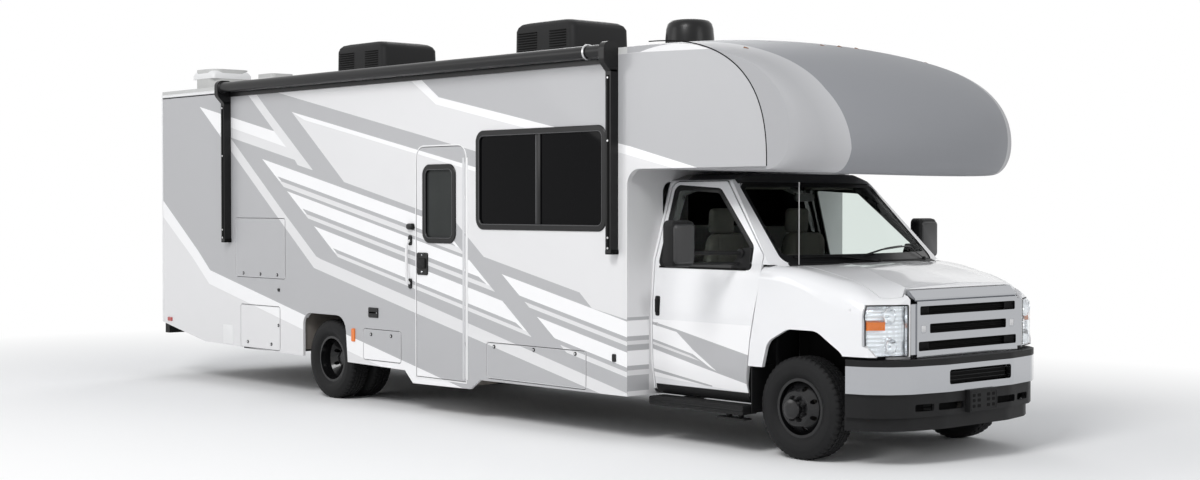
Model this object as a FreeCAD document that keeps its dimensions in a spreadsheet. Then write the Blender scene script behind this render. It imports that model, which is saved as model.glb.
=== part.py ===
# A motorhome with a bed over its cab, on a van chassis with twin rear wheels.
# Millimetres, +X forward, +Y to the vehicle's left, +Z up. The origin is on the ground, in the
# middle of the vehicle's length. Lengths along the vehicle count from the front axle.
import FreeCAD, Part
import math
import os
import re

Vector = FreeCAD.Vector
doc = FreeCAD.newDocument("motorhome")

# Driving dimensions. A length that ends in Back is measured behind the front axle, one in Ahead before it.
sizes = {
    # where the vehicle stands
    "frontAxle": 3989, "wheelBase": 5606, "axleHeight": 368,
    # wheels
    "tyreRadius": 368, "tyreWidth": 223, "beadRadius": 203, "beadHalf": 72, "treadWidth": 168,
    "rimHalf": 82, "wheelOffset": 128, "rimWall": 11, "hubHole": 46,
    "frontCentre": 880, "twinOuter": 1115, "twinInner": 859,
    # chassis
    "railHalf": 432, "railFlange": 65, "railWall": 8, "railDepth": 170,
    "railTopFront": 590, "railTopRear": 700, "railFrontAhead": 690, "railRearBack": 8690,
    "kingpin": 775, "steerRadius": 26,
    # coach body
    "halfWidth": 1256, "wallThick": 45, "skirtThick": 24, "rearBack": 8753, "coachFrontBack": 1482,
    "beltHeight": 735, "floorLow": 800, "floorHigh": 860, "wallTop": 2960, "gutterTop": 3008,
    "roofCrown": 3100, "roofThick": 48, "gap": 6,
    # the bed over the cab
    "bunkUnder": 2083, "bunkFillet": 122, "sideArcReach": 1285, "sideArcStart": 1343,
    "capSideNose": 158, "capBow": 430, "capNoseHeight": 2290, "capWall": 40,
    # entry door
    "doorRearBack": 4183, "doorFrontBack": 3489, "doorLow": 316, "doorHigh": 2308,
    # cab
    "cabBack": 1482, "cabFloorLow": 590, "cabFloorHigh": 630,
    "doorThick": 55, "cabDoorGap": 8, "glassThick": 6, "shellThick": 30,
    "cowlBack": 60, "cowlHeight": 1380, "noseLedge": 1290,
    "bumperLow": 510, "bumperHigh": 700, "bracketFace": 882,
    # awning
    "awningReach": 1335, "tubeRadius": 50, "tubeHeight": 2985,
}
sheet = doc.addObject("Spreadsheet::Sheet", "Sizes")
for row, (alias, value) in enumerate(sizes.items(), 1):
    sheet.set("A%d" % row, alias)
    sheet.set("B%d" % row, str(value))
    sheet.setAlias("B%d" % row, alias)
doc.recompute()


class Read:
    """The sheet's values by their aliases."""

    def __getattr__(self, alias):
        return float(sheet.get(alias))


d = Read()
planes = {  # the two axes of a drawing, and the letter and direction of its depth
    "side": (Vector(1, 0, 0), Vector(0, 0, 1), "y", Vector(0, 1, 0)),
    "front": (Vector(0, 1, 0), Vector(0, 0, 1), "x", Vector(1, 0, 0)),
    "plan": (Vector(1, 0, 0), Vector(0, 1, 0), "z", Vector(0, 0, 1)),
}
turns = {
    "x": FreeCAD.Rotation(Vector(0, 1, 0), 90),
    "y": FreeCAD.Rotation(Vector(1, 0, 0), -90),
    "z": FreeCAD.Rotation(),
}
lowX = {}
pieces = []


def formula(words):
    """An expression of the sheet's cells, from one of their aliases."""
    return re.sub(r"[a-zA-Z]\w*", lambda word: "Sizes." + word[0], str(words))


def bind(solid, **values):
    for name, words in values.items():
        if name in "xyz":
            solid.setExpression("Placement.Base." + name, formula(words))
            if name == "x":
                lowX[solid.Name] = str(words)
        else:
            solid.setExpression(name, formula(words))
    return solid


def corner(points, index):
    """The line's points at one corner, with the arc that rounds it where it has a radius."""
    point = points[index]
    here = Vector(point[0], point[1], 0)
    if len(point) < 3:
        return [here]
    before = Vector(*points[index - 1][:2], 0) - here
    after = Vector(*points[(index + 1) % len(points)][:2], 0) - here
    half = before.getAngle(after) / 2
    before.normalize()
    after.normalize()
    reach = point[2] / math.tan(half)
    middle = (before + after).normalize() * (point[2] / math.sin(half) - point[2])
    return [here + before * reach, here + middle, here + after * reach]


def wire(plane, points, curve=None):
    """A closed line through (a, b) or (a, b, radius) points; a curve may join the last to the first."""
    across, up = planes[plane][:2]
    corners = [corner(points, index) for index in range(len(points))]
    edges = []
    for index, here in enumerate(corners):
        spots = [across * spot.x + up * spot.y for spot in here]
        if len(spots) == 3:
            edges.append(Part.Arc(*spots).toShape())
        following = corners[(index + 1) % len(corners)][0]
        last = curve is not None and index == len(corners) - 1
        if last:
            line = Part.BSplineCurve()
            line.interpolate(
                [spots[-1]] + [across * a + up * b
                for a, b in curve] + [across * following.x + up * following.y]
            )
            edges.append(line.toShape())
        elif here[-1].distanceToPoint(following) > 1e-6:
            edges.append(Part.LineSegment(spots[-1], across * following.x + up * following.y).toShape())
    return Part.Wire(edges)


def slab(name, plane, points, low, high, curve=None):
    """A drawing given a depth from low to high, which are formulas of the sheet."""
    drawing = doc.addObject("Part::Feature", name + "Outline")
    drawing.Shape = Part.Face(wire(plane, points, curve))
    solid = doc.addObject("Part::Extrusion", name)
    solid.Base = drawing
    solid.DirMode = "Custom"
    solid.Dir = planes[plane][3]
    solid.Solid = True
    return bind(solid, LengthFwd="(%s) - (%s)" % (high, low), **{planes[plane][2]: low})


def block(name, x, y, z):
    """A box between pairs of formulas."""
    solid = doc.addObject("Part::Box", name)
    spans = ["(%s) - (%s)" % (high, low) for low, high in (x, y, z)]
    return bind(solid, Length=spans[0], Width=spans[1], Height=spans[2], x=x[0], y=y[0], z=z[0])


def rod(name, axis, low, high, radius, **centre):
    """A cylinder along an axis, from low to high."""
    solid = doc.addObject("Part::Cylinder", name)
    solid.Placement.Rotation = turns[axis]
    return bind(solid, Radius=radius, Height="(%s) - (%s)" % (high, low), **{axis: low}, **centre)


def turned(name, profile, x, y, z):
    """A profile of (along Y, radius) points turned about an axis parallel to Y."""
    drawing = doc.addObject("Part::Feature", name + "Profile")
    drawing.Shape = Part.Face(Part.makePolygon([Vector(0, a, r) for a, r in profile + profile[:1]]))
    solid = doc.addObject("Part::Revolution", name)
    solid.Source = drawing
    solid.Axis = Vector(0, 1, 0)
    solid.Base = Vector(0, 0, 0)
    solid.Angle = 360
    solid.Solid = True
    return bind(solid, x=x, y=y, z=z)


def shaped(name, shape):
    solid = doc.addObject("Part::Feature", name)
    solid.Shape = shape
    return solid


def fuse(name, *solids):
    if len(solids) == 1:
        return solids[0]
    whole = doc.addObject("Part::MultiFuse", name)
    whole.Shapes = list(solids)
    return whole


def cut(name, base, *tools):
    """The base less each tool in turn."""
    for index, tool in enumerate(tools):
        rest = doc.addObject("Part::Cut", name if index == len(tools) - 1 else "%s%d" % (name, index))
        rest.Base = base
        rest.Tool = tool
        base = rest
    return base


def shared(name, *solids):
    both = doc.addObject("Part::MultiCommon", name)
    both.Shapes = list(solids)
    return both


def piece(label, *solids):
    """A sub-part: its label names its file, and its place counts from the front axle."""
    whole = fuse(label + "_whole", *solids)
    whole.Label = label
    low = lowX.get(whole.Name, "0")
    whole.setExpression("Placement.Base.x", formula("frontAxle + (%s)" % low))
    pieces.append(whole)
    return whole


def group(label, *solids):
    """A sub-part of separate solids that only touch, such as a frame's plates."""
    whole = doc.addObject("Part::Compound", label + "_group")
    whole.Links = list(solids)
    whole.Label = label
    whole.setExpression("Placement.Base.x", formula("frontAxle"))
    pieces.append(whole)
    return whole


def across(side, inner, outer):
    """The low and high formulas of a span that lies inner to outer from the middle, on one side."""
    return (inner, outer) if side > 0 else ("-(%s)" % outer, "-(%s)" % inner)


def rectangle(a, b, radius=0.0):
    """The corners of a rectangle between pairs of values."""
    ends = [(a[0], b[0]), (a[1], b[0]), (a[1], b[1]), (a[0], b[1])]
    return [(*end, radius) for end in ends] if radius else ends


def oval(centre, reach, power, start, stop, count):
    """Points of a rounded corner, where (a / reach) ** power + (b / reach) ** power = 1."""
    points = []
    for step in range(count):
        angle = math.radians(start + (stop - start) * step / (count - 1))
        a = abs(math.cos(angle)) ** (2 / power) * math.copysign(1, math.cos(angle))
        b = abs(math.sin(angle)) ** (2 / power) * math.copysign(1, math.sin(angle))
        points.append((centre[0] + reach[0] * a, centre[1] + reach[1] * b))
    return points


names = {1: "left", -1: "right"}
both = (1, -1)

# Chassis
railLine = [
    (d.railFrontAhead, d.railTopFront),
    (-1500, d.railTopFront, 200),
    (-1900, d.railTopRear, 200),
    (-d.railRearBack, d.railTopRear),
]
lowerLine = [(a[0], a[1] - d.railDepth, *a[2:]) for a in reversed(railLine)]
hollowTop = [(a[0], a[1] - d.railWall, *a[2:]) for a in railLine]
hollowLow = [(a[0], a[1] - d.railDepth + d.railWall, *a[2:]) for a in reversed(railLine)]


def chassis():
    rails = []
    for side in both:
        whole = slab(
            "rail" + names[side], "side", railLine + lowerLine,
            *across(side, "railHalf - railFlange", "railHalf")
        )
        hollow = slab(
            "channel" + names[side], "side", hollowTop + hollowLow,
            *across(side, "railHalf - railFlange", "railHalf - railWall"))
        channel = cut("openRail" + names[side], whole, hollow)
        for part, (rear, front) in enumerate(((-8700, -1935), (-1935, -1465), (-1465, 700))):
            span = block(
                "railSpan%d%s" % (part, names[side]), (rear, front), across(side, 300, 500), (300, 800)
            )
            rails.append(shared("railPart%d%s" % (part, names[side]), channel, span))
    group("frame", *rails)
    beams = []
    crossStations = (
        (620, 0), (-1150, 0), (-2450, 1), (-3700, 1), (-4900, 1), (-6350, 1), (-7500, 1), (-8630, 1)
    )
    for index, (station, rear) in enumerate(crossStations):
        top = "railTopRear" if rear else "railTopFront"
        beams.append(block(
            "cross%d" % index, (station - 40, station + 40), ("railWall - railHalf", "railHalf - railWall"),
            (top + " - 110", top + " - 30")))
    for index, station in enumerate((-1960, -3340, -4300, -5110, -6140, -7290, -8330)):
        beams.append(block(
            "floorBeam%d" % index, (station - 30, station + 30), (
                "wallThick - halfWidth", "halfWidth - wallThick"
            ),
            ("railTopRear", "floorLow")))
    group("crossmembers", *beams)

    piece("engine", block("engineBlock", (-300, 470), (-300, 300), ("railTopFront - 150", 1120)))

    gearbox = slab(
        "gearbox", "side", [
            (-300, 330, 40), (-300, 600), (-700, 560, 60), (-1080, 470, 40), (-1080, 370, 40), (-700, 310, 60)
        ],
        -150, 150)
    shaft = rod("propShaft", "x", "-(wheelBase - 245)", -1080, 45, y=0, z=420)
    bearing = block("shaftBearing", (-3730, -3670), (-110, 110), (360, "railTopRear - 110"))
    piece("driveline", gearbox, shaft, bearing)


def exhaust():
    """A pipe along the left rail, under it and out ahead of the rear wheel, with its silencer."""
    radius, height = 35, 440
    route = [(-300, 235), (-4600, 235), (-4960, 1165)]
    bend = 320
    start, corner_, end = [Vector(a, b, height) for a, b in route]
    before = (start - corner_).normalize()
    after = (end - corner_).normalize()
    half = before.getAngle(after) / 2
    reach = bend / math.tan(half)
    middle = corner_ + (before + after).normalize() * (bend / math.sin(half) - bend)
    path = Part.Wire([
        Part.LineSegment(start, corner_ + before * reach).toShape(),
        Part.Arc(corner_ + before * reach, middle, corner_ + after * reach).toShape(),
        Part.LineSegment(corner_ + after * reach, end).toShape(),
    ])
    ring = Part.Wire(Part.makeCircle(radius, start, Vector(1, 0, 0)))
    pipe = shaped("exhaustPipe", path.makePipeShell([ring], True, False))
    muffler = rod("silencer", "x", -3000, -2250, 95, y=235, z=height)
    piece("exhaust", pipe, muffler)


def tanks():
    fuel = slab("fuelTank", "side", rectangle((-7420, -6420), (400, 690), 60), -350, 350)
    waste = slab("wasteTank", "side", rectangle((-3180, -1900), (450, 690), 40), 520, 1180)
    piece("tanks", fuel, waste)


def frontAxle():
    """Two I-beams, each from a wheel to a pivot on the far rail, with radius arms and coil springs."""
    solids = []
    for side in both:
        station = 45 * side
        line = [
            (side * 722, 410, 30), (side * 500, 350, 60), (side * -330, 370, 30), (side * -330, 280),
            (side * 480, 250, 60), (side * 722, 320, 30)
        ]
        whole = slab("beam" + names[side], "front", line, station - 32, station + 32)
        web = [
            (side * 640, 372), (side * 470, 332, 30), (side * -270, 350, 10), (side * -270, 300, 10),
            (side * 470, 268, 30), (side * 640, 318)
        ]
        pockets = [
            slab("pocket%d%s" % (end, names[side]), "front", web, station + a, station + b) for end,
            (a, b) in enumerate(((-40, -12), (12, 40)))
        ]
        eye = rod("eye" + names[side], "z", 298, 442, 38, x=0, y=side * d.kingpin)
        bore = rod("eyeBore" + names[side], "z", 280, 460, "steerRadius + 0.05", x=0, y=side * d.kingpin)
        neck = block(
            "eyeNeck" + names[side], (min(0, station) - 30, max(0, station) + 30), across(side, 700, 750),
            (325, 405)
        )
        solids.append(
            cut(
                "forged" + names[side],
                fuse("beamAndEye" + names[side], cut("openBeam" + names[side], whole, *pockets), eye, neck),
                bore
            )
        )
        solids.append(slab(
            "arm" + names[side], "side", [
                (60, 330), (60, 290), (-1000, 425), (-1000, 470)
            ], *across(side, 520, 570)))
        solids.append(rod("coil" + names[side], "z", 340, 600, 62, x=0, y=side * 500))
        solids.append(block("coilSeat" + names[side], (-75, 75), across(side, "railHalf", 575), (560, 600)))
        solids.append(
            block("armSeat" + names[side], (-1010, -940), across(side, "railHalf", 575), (420, 480))
        )
    piece("front_axle", *solids)


def rearAxle():
    """A straight axle with its differential, on two leaf springs."""
    tube = rod("axleTube", "y", -795, 795, 56, x="-wheelBase", z="axleHeight")
    bowl = doc.addObject("Part::Sphere", "differential")
    bind(bowl, Radius=165, x="-wheelBase", y=0, z="axleHeight + 5")
    nose = rod("pinionNose", "x", "-(wheelBase - 100)", "-(wheelBase - 245)", 70, y=0, z="axleHeight + 30")
    solids = [tube, bowl, nose]
    for side in both:
        leaves = []
        for index, length in enumerate((680, 520, 360)):
            low = d.axleHeight + 66 + 14 * (2 - index)
            rise = 120 * (length / 680) ** 2
            top = Part.Arc(Vector(-length, 0, low + rise), Vector(0, 0, low), Vector(length, 0, low + rise))
            under = Part.Arc(
                Vector(-length, 0, low + rise - 14), Vector(0, 0, low - 14),
                Vector(length, 0, low + rise - 14)
            )
            ends = [
                Part.LineSegment(Vector(length, 0, low + rise), Vector(length, 0, low + rise - 14)),
                Part.LineSegment(Vector(-length, 0, low + rise - 14), Vector(-length, 0, low + rise))]
            face = Part.Face(
                Part.Wire([top.toShape(), ends[0].toShape(), under.toShape(), ends[1].toShape()])
            )
            leaves.append(face.extrude(Vector(0, 76, 0)))
        spring = leaves[0].fuse(leaves[1:])
        spring.translate(Vector(-d.wheelBase, side * 560 - 38, 0))
        solids.append(shaped("leafSpring" + names[side], spring))
        solids.append(
            block(
                "springPlate" + names[side], ("-(wheelBase + 70)", "-(wheelBase - 70)"),
                across(side, 515, 605), ("axleHeight + 40", "axleHeight + 60")
            )
        )
        for end, station in enumerate((-680, 680)):
            low = d.axleHeight + 66 + 28 + 100
            solids.append(slab(
                "hanger%d%s" % (end, names[side]), "side",
                rectangle(
                    (-d.wheelBase + station - 35, -d.wheelBase + station + 35), (low, d.railTopRear - 20), 20
                ),
                *across(side, "railHalf", 604)))
    piece("rear_axle", *solids)


def knuckle(side):
    """The kingpin's fork and the stub that carries the front wheel."""
    name = names[side]
    kingpin = rod("kingpin" + name, "z", 268, 472, "steerRadius", x=0, y=side * d.kingpin)
    body = block("upright" + name, (-45, 45), across(side, 816, 850), (268, 472))
    forks = [
        block("fork%d%s" % (end, name), (-40, 40), across(side, 740, 820), (low, low + 24)) for end,
        low in enumerate((268, 448))
    ]
    stub = rod("stub" + name, "y", *across(side, 840, "frontCentre + 80"), 34, x=0, z="axleHeight")
    arm = slab(
        "steeringArm" + name, "plan",
        [(-30, side * 752), (-30, side * 820), (-190, side * 770, 15), (-190, side * 735, 15)], 268, 292
    )
    plate = rod("brakePlate" + name, "y", *across(side, 850, 863), 150, x=0, z="axleHeight")
    caliper = slab("caliper" + name, "side", rectangle((-155, -90), (300, 440), 20), *across(side, 806, 863))
    piece("knuckle_" + name, kingpin, body, *forks, stub, arm, plate, caliper)


def tyre(name, x, centre):
    half, tread = d.tyreWidth / 2, d.treadWidth / 2
    profile = [
        (-d.beadHalf, d.beadRadius), (-half, 275), (-half + 6, 325), (-tread, d.tyreRadius),
        (tread, d.tyreRadius), (half - 6, 325), (half, 275), (d.beadHalf, d.beadRadius),
    ]
    return turned(name, profile, x, centre, "axleHeight")


def rim(name, x, centre, outward):
    """A dished steel wheel: outward is the way its bolted face lies from its middle, +1 or -1 along Y."""
    edge, face, wall = d.rimHalf, d.wheelOffset, d.rimWall
    bead = d.beadRadius
    profile = [
        (-edge, bead + 12), (-edge, bead - wall), (20, bead - wall - 6), (face - wall, 116),
        (face - wall, d.hubHole),
        (face, d.hubHole), (face, 124), (48, bead - wall - 3), (edge, bead - wall), (edge, bead + 12),
        (edge - 8, bead), (8 - edge, bead),
    ]
    solid = turned(name, [(outward * a, r) for a, r in profile], x, centre, "axleHeight")
    holes = []
    for step in range(8):
        angle = math.radians(45 * step + 22.5)
        holes.append(rod(
            "%sHole%d" % (name, step), "y", "(%s) - 130" % centre, "(%s) + 130" % centre, 17,
            x="(%s) + %f" % (x, 152 * math.cos(angle)), z="axleHeight + %f" % (152 * math.sin(angle))))
    return cut(name + "Open", solid, *holes)


def hub(name, x, low, high, radius):
    return rod(name, "y", low, high, radius, x=x, z="axleHeight")


def wheels(side):
    name = names[side]
    sign = "" if side > 0 else "-"
    front = sign + "frontCentre"
    piece("tyre_front_" + name, tyre("tyreFront" + name, 0, front))
    cap = cut(
        "frontHub" + name,
        hub("frontHubCap" + name, 0, *across(side, "frontCentre - 10", "frontCentre + wheelOffset + 45"), 70),
        hub("stubBore" + name, 0, *across(side, "frontCentre - 20", "frontCentre + 90"), 35))
    piece("rim_front_" + name, rim("rimFront" + name, 0, front, side), cap)
    outer, inner = sign + "twinOuter", sign + "twinInner"
    piece(
        "tyres_rear_" + name, tyre("tyreOuter" + name, "-wheelBase", outer),
        tyre("tyreInner" + name, "-wheelBase", inner)
    )
    drum = cut(
        "rearHub" + name,
        fuse("hubAndDrum" + name,
             hub("rearHubCap" + name, "-wheelBase", *across(side, 780, "twinOuter - wheelOffset + 95"), 70),
             hub("brakeDrum" + name, "-wheelBase", *across(side, 790, 880), 165),
             hub("hubFlange" + name, "-wheelBase", *across(side, 870, "twinOuter - wheelOffset - 11"), 80)),
        hub("hubBore" + name, "-wheelBase", *across(side, 770, 801), 57))
    piece(
        "rims_rear_" + name, rim(
            "rimOuter" + name, "-wheelBase", outer, -side
        ), rim("rimInner" + name, "-wheelBase", inner, side), drum)


# Coach body
arch = [(-6005, 0), (-6012, 787, 120), (-5300, 787, 150), (-5222, 0)]
lockers = {  # rear, front, low and high of each locker door, whether its hinge is at the top, and its side
    "upper_rear": (-7245, -6328, 1096, 1676, False, -1),
    "lower_rear": (-7154, -6424, 396, 818, False, -1),
    "mid": (-5002, -4421, 409, 684, True, -1),
    "front": (-3197, -1955, 370, 664, True, -1),
    "left_rear": (-7650, -6750, 440, 700, True, 1),
    "left_mid": (-4650, -3760, 400, 684, True, 1),
}
windows = {  # rear, front, low, high and side of each coach window
    "lounge": (-3317, -1735, 1624, 2409, -1),
    "dinette": (-3317, -1735, 1624, 2409, 1),
    "galley": (-5150, -4350, 1750, 2330, 1),
    "bedroom": (-8250, -7350, 1624, 2330, 1),
}
lowEdge = [
    (-d.rearBack, 0), (-d.rearBack, 562), (-7874, 404), (-6069, 375), (-4362, 352), (-4242, 246),
    (-3428, 257), (-3292, 343),
    (-d.coachFrontBack, 352), (-d.coachFrontBack, 0),
]


def sideCurve(count=9):
    """The front edge of the flat side over the cab, a rounded corner from its foot up to the roof."""
    reach = (d.sideArcReach, d.gutterTop + 20 - d.bunkUnder)
    return oval((-d.sideArcStart, d.bunkUnder), reach, 2.6, 3, 88, count)


def wallOutline():
    return [
        (-d.sideArcStart, d.wallTop), (-d.rearBack, d.wallTop), (-d.rearBack, d.beltHeight),
        (-d.coachFrontBack, d.beltHeight), (-d.coachFrontBack, d.bunkUnder, d.bunkFillet),
        (-d.sideArcStart + d.sideArcReach, d.bunkUnder),
    ]


def wall(side):
    name = names[side]
    span = across(side, "halfWidth - wallThick", "halfWidth")
    through = across(side, "halfWidth - wallThick - 20", "halfWidth + 20")
    top = [point for point in sideCurve() if point[1] < d.wallTop - 15]
    whole = slab("side" + name, "side", wallOutline(), *span, curve=top)
    holes = [slab("wallArch" + name, "side", arch, *through)]
    for label, (rear, front, low, high, where) in windows.items():
        if where == side:
            holes.append(slab("hole" + label, "side", rectangle((rear, front), (low, high), 60), *through))
    for label, (rear, front, low, high, hinged, where) in lockers.items():
        if where == side and high > d.beltHeight:
            grown = rectangle((rear - d.gap, front + d.gap), (low - d.gap, high + d.gap), 30)
            holes.append(slab("hole" + label, "side", grown, *through))
    if side < 0:
        holes.append(slab("doorway", "side", entryOutline(d.gap), *through))
    piece("wall_" + name, cut("wall" + name, whole, *holes))


def entryOutline(grow=0.0):
    low, high = d.doorLow - grow, d.doorHigh + grow
    rear, front = -d.doorRearBack - grow, -d.doorFrontBack + grow
    return [(rear, low), (front, low), (front, high, 100 + grow), (rear, high, 100 + grow)]


def skirts():
    solids = []
    for side in both:
        name = names[side]
        span = across(side, "halfWidth - skirtThick", "halfWidth")
        through = across(side, "halfWidth - skirtThick - 20", "halfWidth + 20")
        edge = [point for point in lowEdge if point[1] > 0]
        if side > 0:
            edge = [point for point in edge if point[1] > 340]
        line = edge + [(-d.coachFrontBack, d.beltHeight), (-d.rearBack, d.beltHeight)]
        holes = [slab("skirtArch" + name, "side", arch, *through)]
        for label, (rear, front, low, high, hinged, where) in lockers.items():
            if where == side and low < d.beltHeight:
                grown = rectangle((rear - d.gap, front + d.gap), (low - d.gap, high + d.gap), 30)
                holes.append(slab("skirtHole" + label, "side", grown, *through))
        if side < 0:
            holes.append(slab("skirtDoorway", "side", entryOutline(d.gap), *through))
        solids.append(cut("skirt" + name, slab("skirtPlate" + name, "side", line, *span), *holes))
    solids.append(block(
        "skirtRear", ("-rearBack", "skirtThick - rearBack"), (
            "skirtThick - halfWidth", "halfWidth - skirtThick"
        ), (562, "beltHeight")))
    piece("skirts", *solids)


def endWalls():
    rear = block(
        "rearPlate", ("-rearBack", "wallThick - rearBack"), (
            "wallThick - halfWidth", "halfWidth - wallThick"
        ), ("beltHeight", "wallTop"))
    pane = slab(
        "rearHole", "front", rectangle((-380, 380), (1750, 2250), 60), "-(rearBack + 20)",
        "wallThick + 20 - rearBack"
    )
    piece("wall_rear", cut("rearWall", rear, pane))
    inner = d.halfWidth - d.wallThick
    line = rectangle((-inner, inner), (352, d.bunkUnder))
    front = slab("frontPlate", "front", line, "-(coachFrontBack + wallThick)", "-coachFrontBack")
    through = slab(
        "cabThrough", "front", rectangle((-880, 880), (cabFloor(), 1990), 80),
        "-(coachFrontBack + wallThick + 20)", "20 - coachFrontBack")
    tunnel = slab(
        "railThrough", "front", rectangle((-620, 620), (300, cabFloor() + 1)),
        "-(coachFrontBack + wallThick + 20)", "20 - coachFrontBack"
    )
    piece("wall_front", cut("frontWall", front, through, tunnel))


def cabFloor():
    return d.cabFloorHigh


def floorAndSteps():
    inner = "halfWidth - wallThick"
    plate = block(
        "floorPlate", ("wallThick - rearBack", "-(coachFrontBack + wallThick)"), ("-(%s)" % inner, inner),
        ("floorLow", "floorHigh")
    )
    well = block("stepHole", (-4200, -3470), ("-(%s) - 10" % inner, -710), (700, 900))
    solids = [cut("openFloor", plate, well)]
    stepLine = [
        (-1205, 300), (-960, 300), (-960, 560), (-720, 560), (-720, 860), (-700, 860), (-700, 540),
        (-940, 540),
        (-940, 280), (-1205, 280),
    ]
    solids.append(slab("steps", "front", stepLine, -4200, -3470))
    for end, station in enumerate((-4212, -3470)):
        cheek = [(-1205, 280), (-940, 280), (-940, 540), (-700, 540), (-700, 800), (-1205, 800)]
        solids.append(slab("stepCheek%d" % end, "front", cheek, station, station + 12))
    for side in both:
        for end, station in enumerate((-6048, -5188)):
            solids.append(
                block(
                    "wheelHousing%d%s" % (end, names[side]), (station, station + 10),
                    across(side, 690, "halfWidth - wallThick"), (430, "floorLow")
                )
            )
    piece("coach_floor", *solids)


def lockerBoxes():
    """Open boxes of plates behind the low locker doors."""
    solids = []
    depth, plate = 560, 8
    for label, (rear, front, low, high, hinged, side) in lockers.items():
        if low > d.beltHeight:
            continue
        top = min(high + 20, d.railTopRear - 2) if label != "lower_rear" else d.floorLow - 1
        face = d.halfWidth - 0.5 - (d.skirtThick if high < d.beltHeight else d.wallThick)
        left, right, floor = rear - 20, front + 20, low - 20
        room = across(side, face - depth + plate, face)
        solids.append(block("lockerFloor" + label, (left, right), room, (floor, floor + plate)))
        solids.append(block("lockerRoof" + label, (left, right), room, (top - plate, top)))
        solids.append(
            block(
                "lockerBack" + label, (left, right), across(side, face - depth, face - depth + plate),
                (floor, top)
            )
        )
        solids.append(block("lockerRear" + label, (left, left + plate), room, (floor + plate, top - plate)))
        solids.append(
            block("lockerFront" + label, (right - plate, right), room, (floor + plate, top - plate))
        )
    group("locker_boxes", *solids)


def roof():
    half, thick = d.halfWidth, d.roofThick
    upper = Part.Arc(Vector(0, -half, d.gutterTop), Vector(0, 0, d.roofCrown), Vector(0, half, d.gutterTop))
    inner = half - d.wallThick
    lower = Part.Arc(
        Vector(0, -inner, d.wallTop), Vector(0, 0, d.roofCrown - thick), Vector(0, inner, d.wallTop)
    )
    corners = [Vector(0, half, d.gutterTop), Vector(0, half, d.wallTop), Vector(0, inner, d.wallTop)]
    mirrored = [Vector(0, -a.y, a.z) for a in reversed(corners)]
    edges = [upper.toShape(), Part.makePolygon(corners), lower.toShape(), Part.makePolygon(mirrored)]
    drawing = shaped("roofSection", Part.Face(Part.Wire([edge for part in edges for edge in part.Edges])))
    solid = doc.addObject("Part::Extrusion", "roofPlate")
    solid.Base = drawing
    solid.DirMode = "Custom"
    solid.Dir = Vector(1, 0, 0)
    solid.Solid = True
    bind(solid, LengthFwd="rearBack - coachFrontBack", x="-rearBack")
    vents = [
        slab("ventRear", "plan", rectangle((-8560, -8130), (-1000, -540), 120), 3000, 3240),
        slab("ventFront", "plan", rectangle((-7300, -7000), (-980, -720), 50), 2990, 3130),
    ]
    piece("roof", solid, *vents)


def roofHeight(y):
    """The crowned roof's top, from the arc of its section."""
    rise = d.roofCrown - d.gutterTop
    radius = (d.halfWidth ** 2 + rise ** 2) / (2 * rise)
    return d.roofCrown - radius + math.sqrt(radius ** 2 - min(abs(y), d.halfWidth) ** 2)


def capRib(share, inset):
    """The nose cap's side view at one place across: roof, brow, nose, lip and underside."""
    angle = math.radians(90 * share)
    y = (d.halfWidth - inset) * math.sin(angle)
    bow = math.cos(angle) ** 1.2
    nose = d.capSideNose + d.capBow * bow - inset
    noseHeight = d.capNoseHeight - 45 * bow
    lip = (-41 + 490 * bow - inset, d.bunkUnder - 20 - 43 * bow + inset)
    top = roofHeight(y) - inset
    brow = oval(
        (-d.sideArcStart, noseHeight), (nose + d.sideArcStart, top - noseHeight), 2.3 - 0.2 * bow, 88, 0, 8
    )
    chin = oval((lip[0], noseHeight), (nose - lip[0], noseHeight - lip[1]), 2.0, -25, -90, 4)
    back = (-d.coachFrontBack - (5 if inset else 0), top)
    under = (-d.coachFrontBack - (5 if inset else 0), d.bunkUnder + inset)
    points = [Vector(a, y, b) for a, b in [back] + brow + chin]
    line = Part.BSplineCurve()
    line.interpolate(points)
    foot = Vector(under[0], y, under[1])
    return Part.Wire([
        line.toShape(), Part.LineSegment(points[-1], foot).toShape(),
        Part.LineSegment(foot, points[0]).toShape(),
    ])


def cabOver():
    """The bed's nose cap and floor, a hollow shell between the flat sides."""
    shares = [-1, -0.9, -0.75, -0.5, -0.25, 0, 0.25, 0.5, 0.75, 0.9, 1]
    shells = []
    for name, inset in (("capOuter", 0.0), ("capInner", d.capWall)):
        loft = doc.addObject("Part::Loft", name)
        loft.Sections = [
            shaped("%sRib%d" % (name, index), capRib(share, inset)) for index, share in enumerate(shares)
        ]
        loft.Solid = True
        loft.Ruled = False
        shells.append(loft)
    solids = [cut("capShell", *shells)]
    sides = []
    for side in both:
        line = [(-d.sideArcStart, d.wallTop), (-d.rearBack, d.wallTop), (-d.rearBack, 1900), (
            -d.sideArcStart + d.sideArcReach, 1900
        ),
                (-d.sideArcStart + d.sideArcReach, d.bunkUnder)]
        top = [point for point in sideCurve() if point[1] < d.wallTop - 15]
        sides.append(
            slab(
                "bunkSide" + names[side], "side", line,
                *across(side, "halfWidth - wallThick - 0.2", "halfWidth + 20"), curve=top
            )
        )
    piece("cab_over", cut("bunk", solids[0], *sides))


def coachGlass():
    solids = []
    for label, (rear, front, low, high, side) in windows.items():
        solids.append(slab(
            "pane" + label, "side", rectangle((rear, front), (low, high), 60), *across(
                side, "halfWidth - 30", "halfWidth - 4"
            )))
    solids.append(
        slab("rearPane", "front", rectangle((-380, 380), (1750, 2250), 60), "4 - rearBack", "30 - rearBack")
    )
    piece("coach_windows", *solids)


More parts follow.
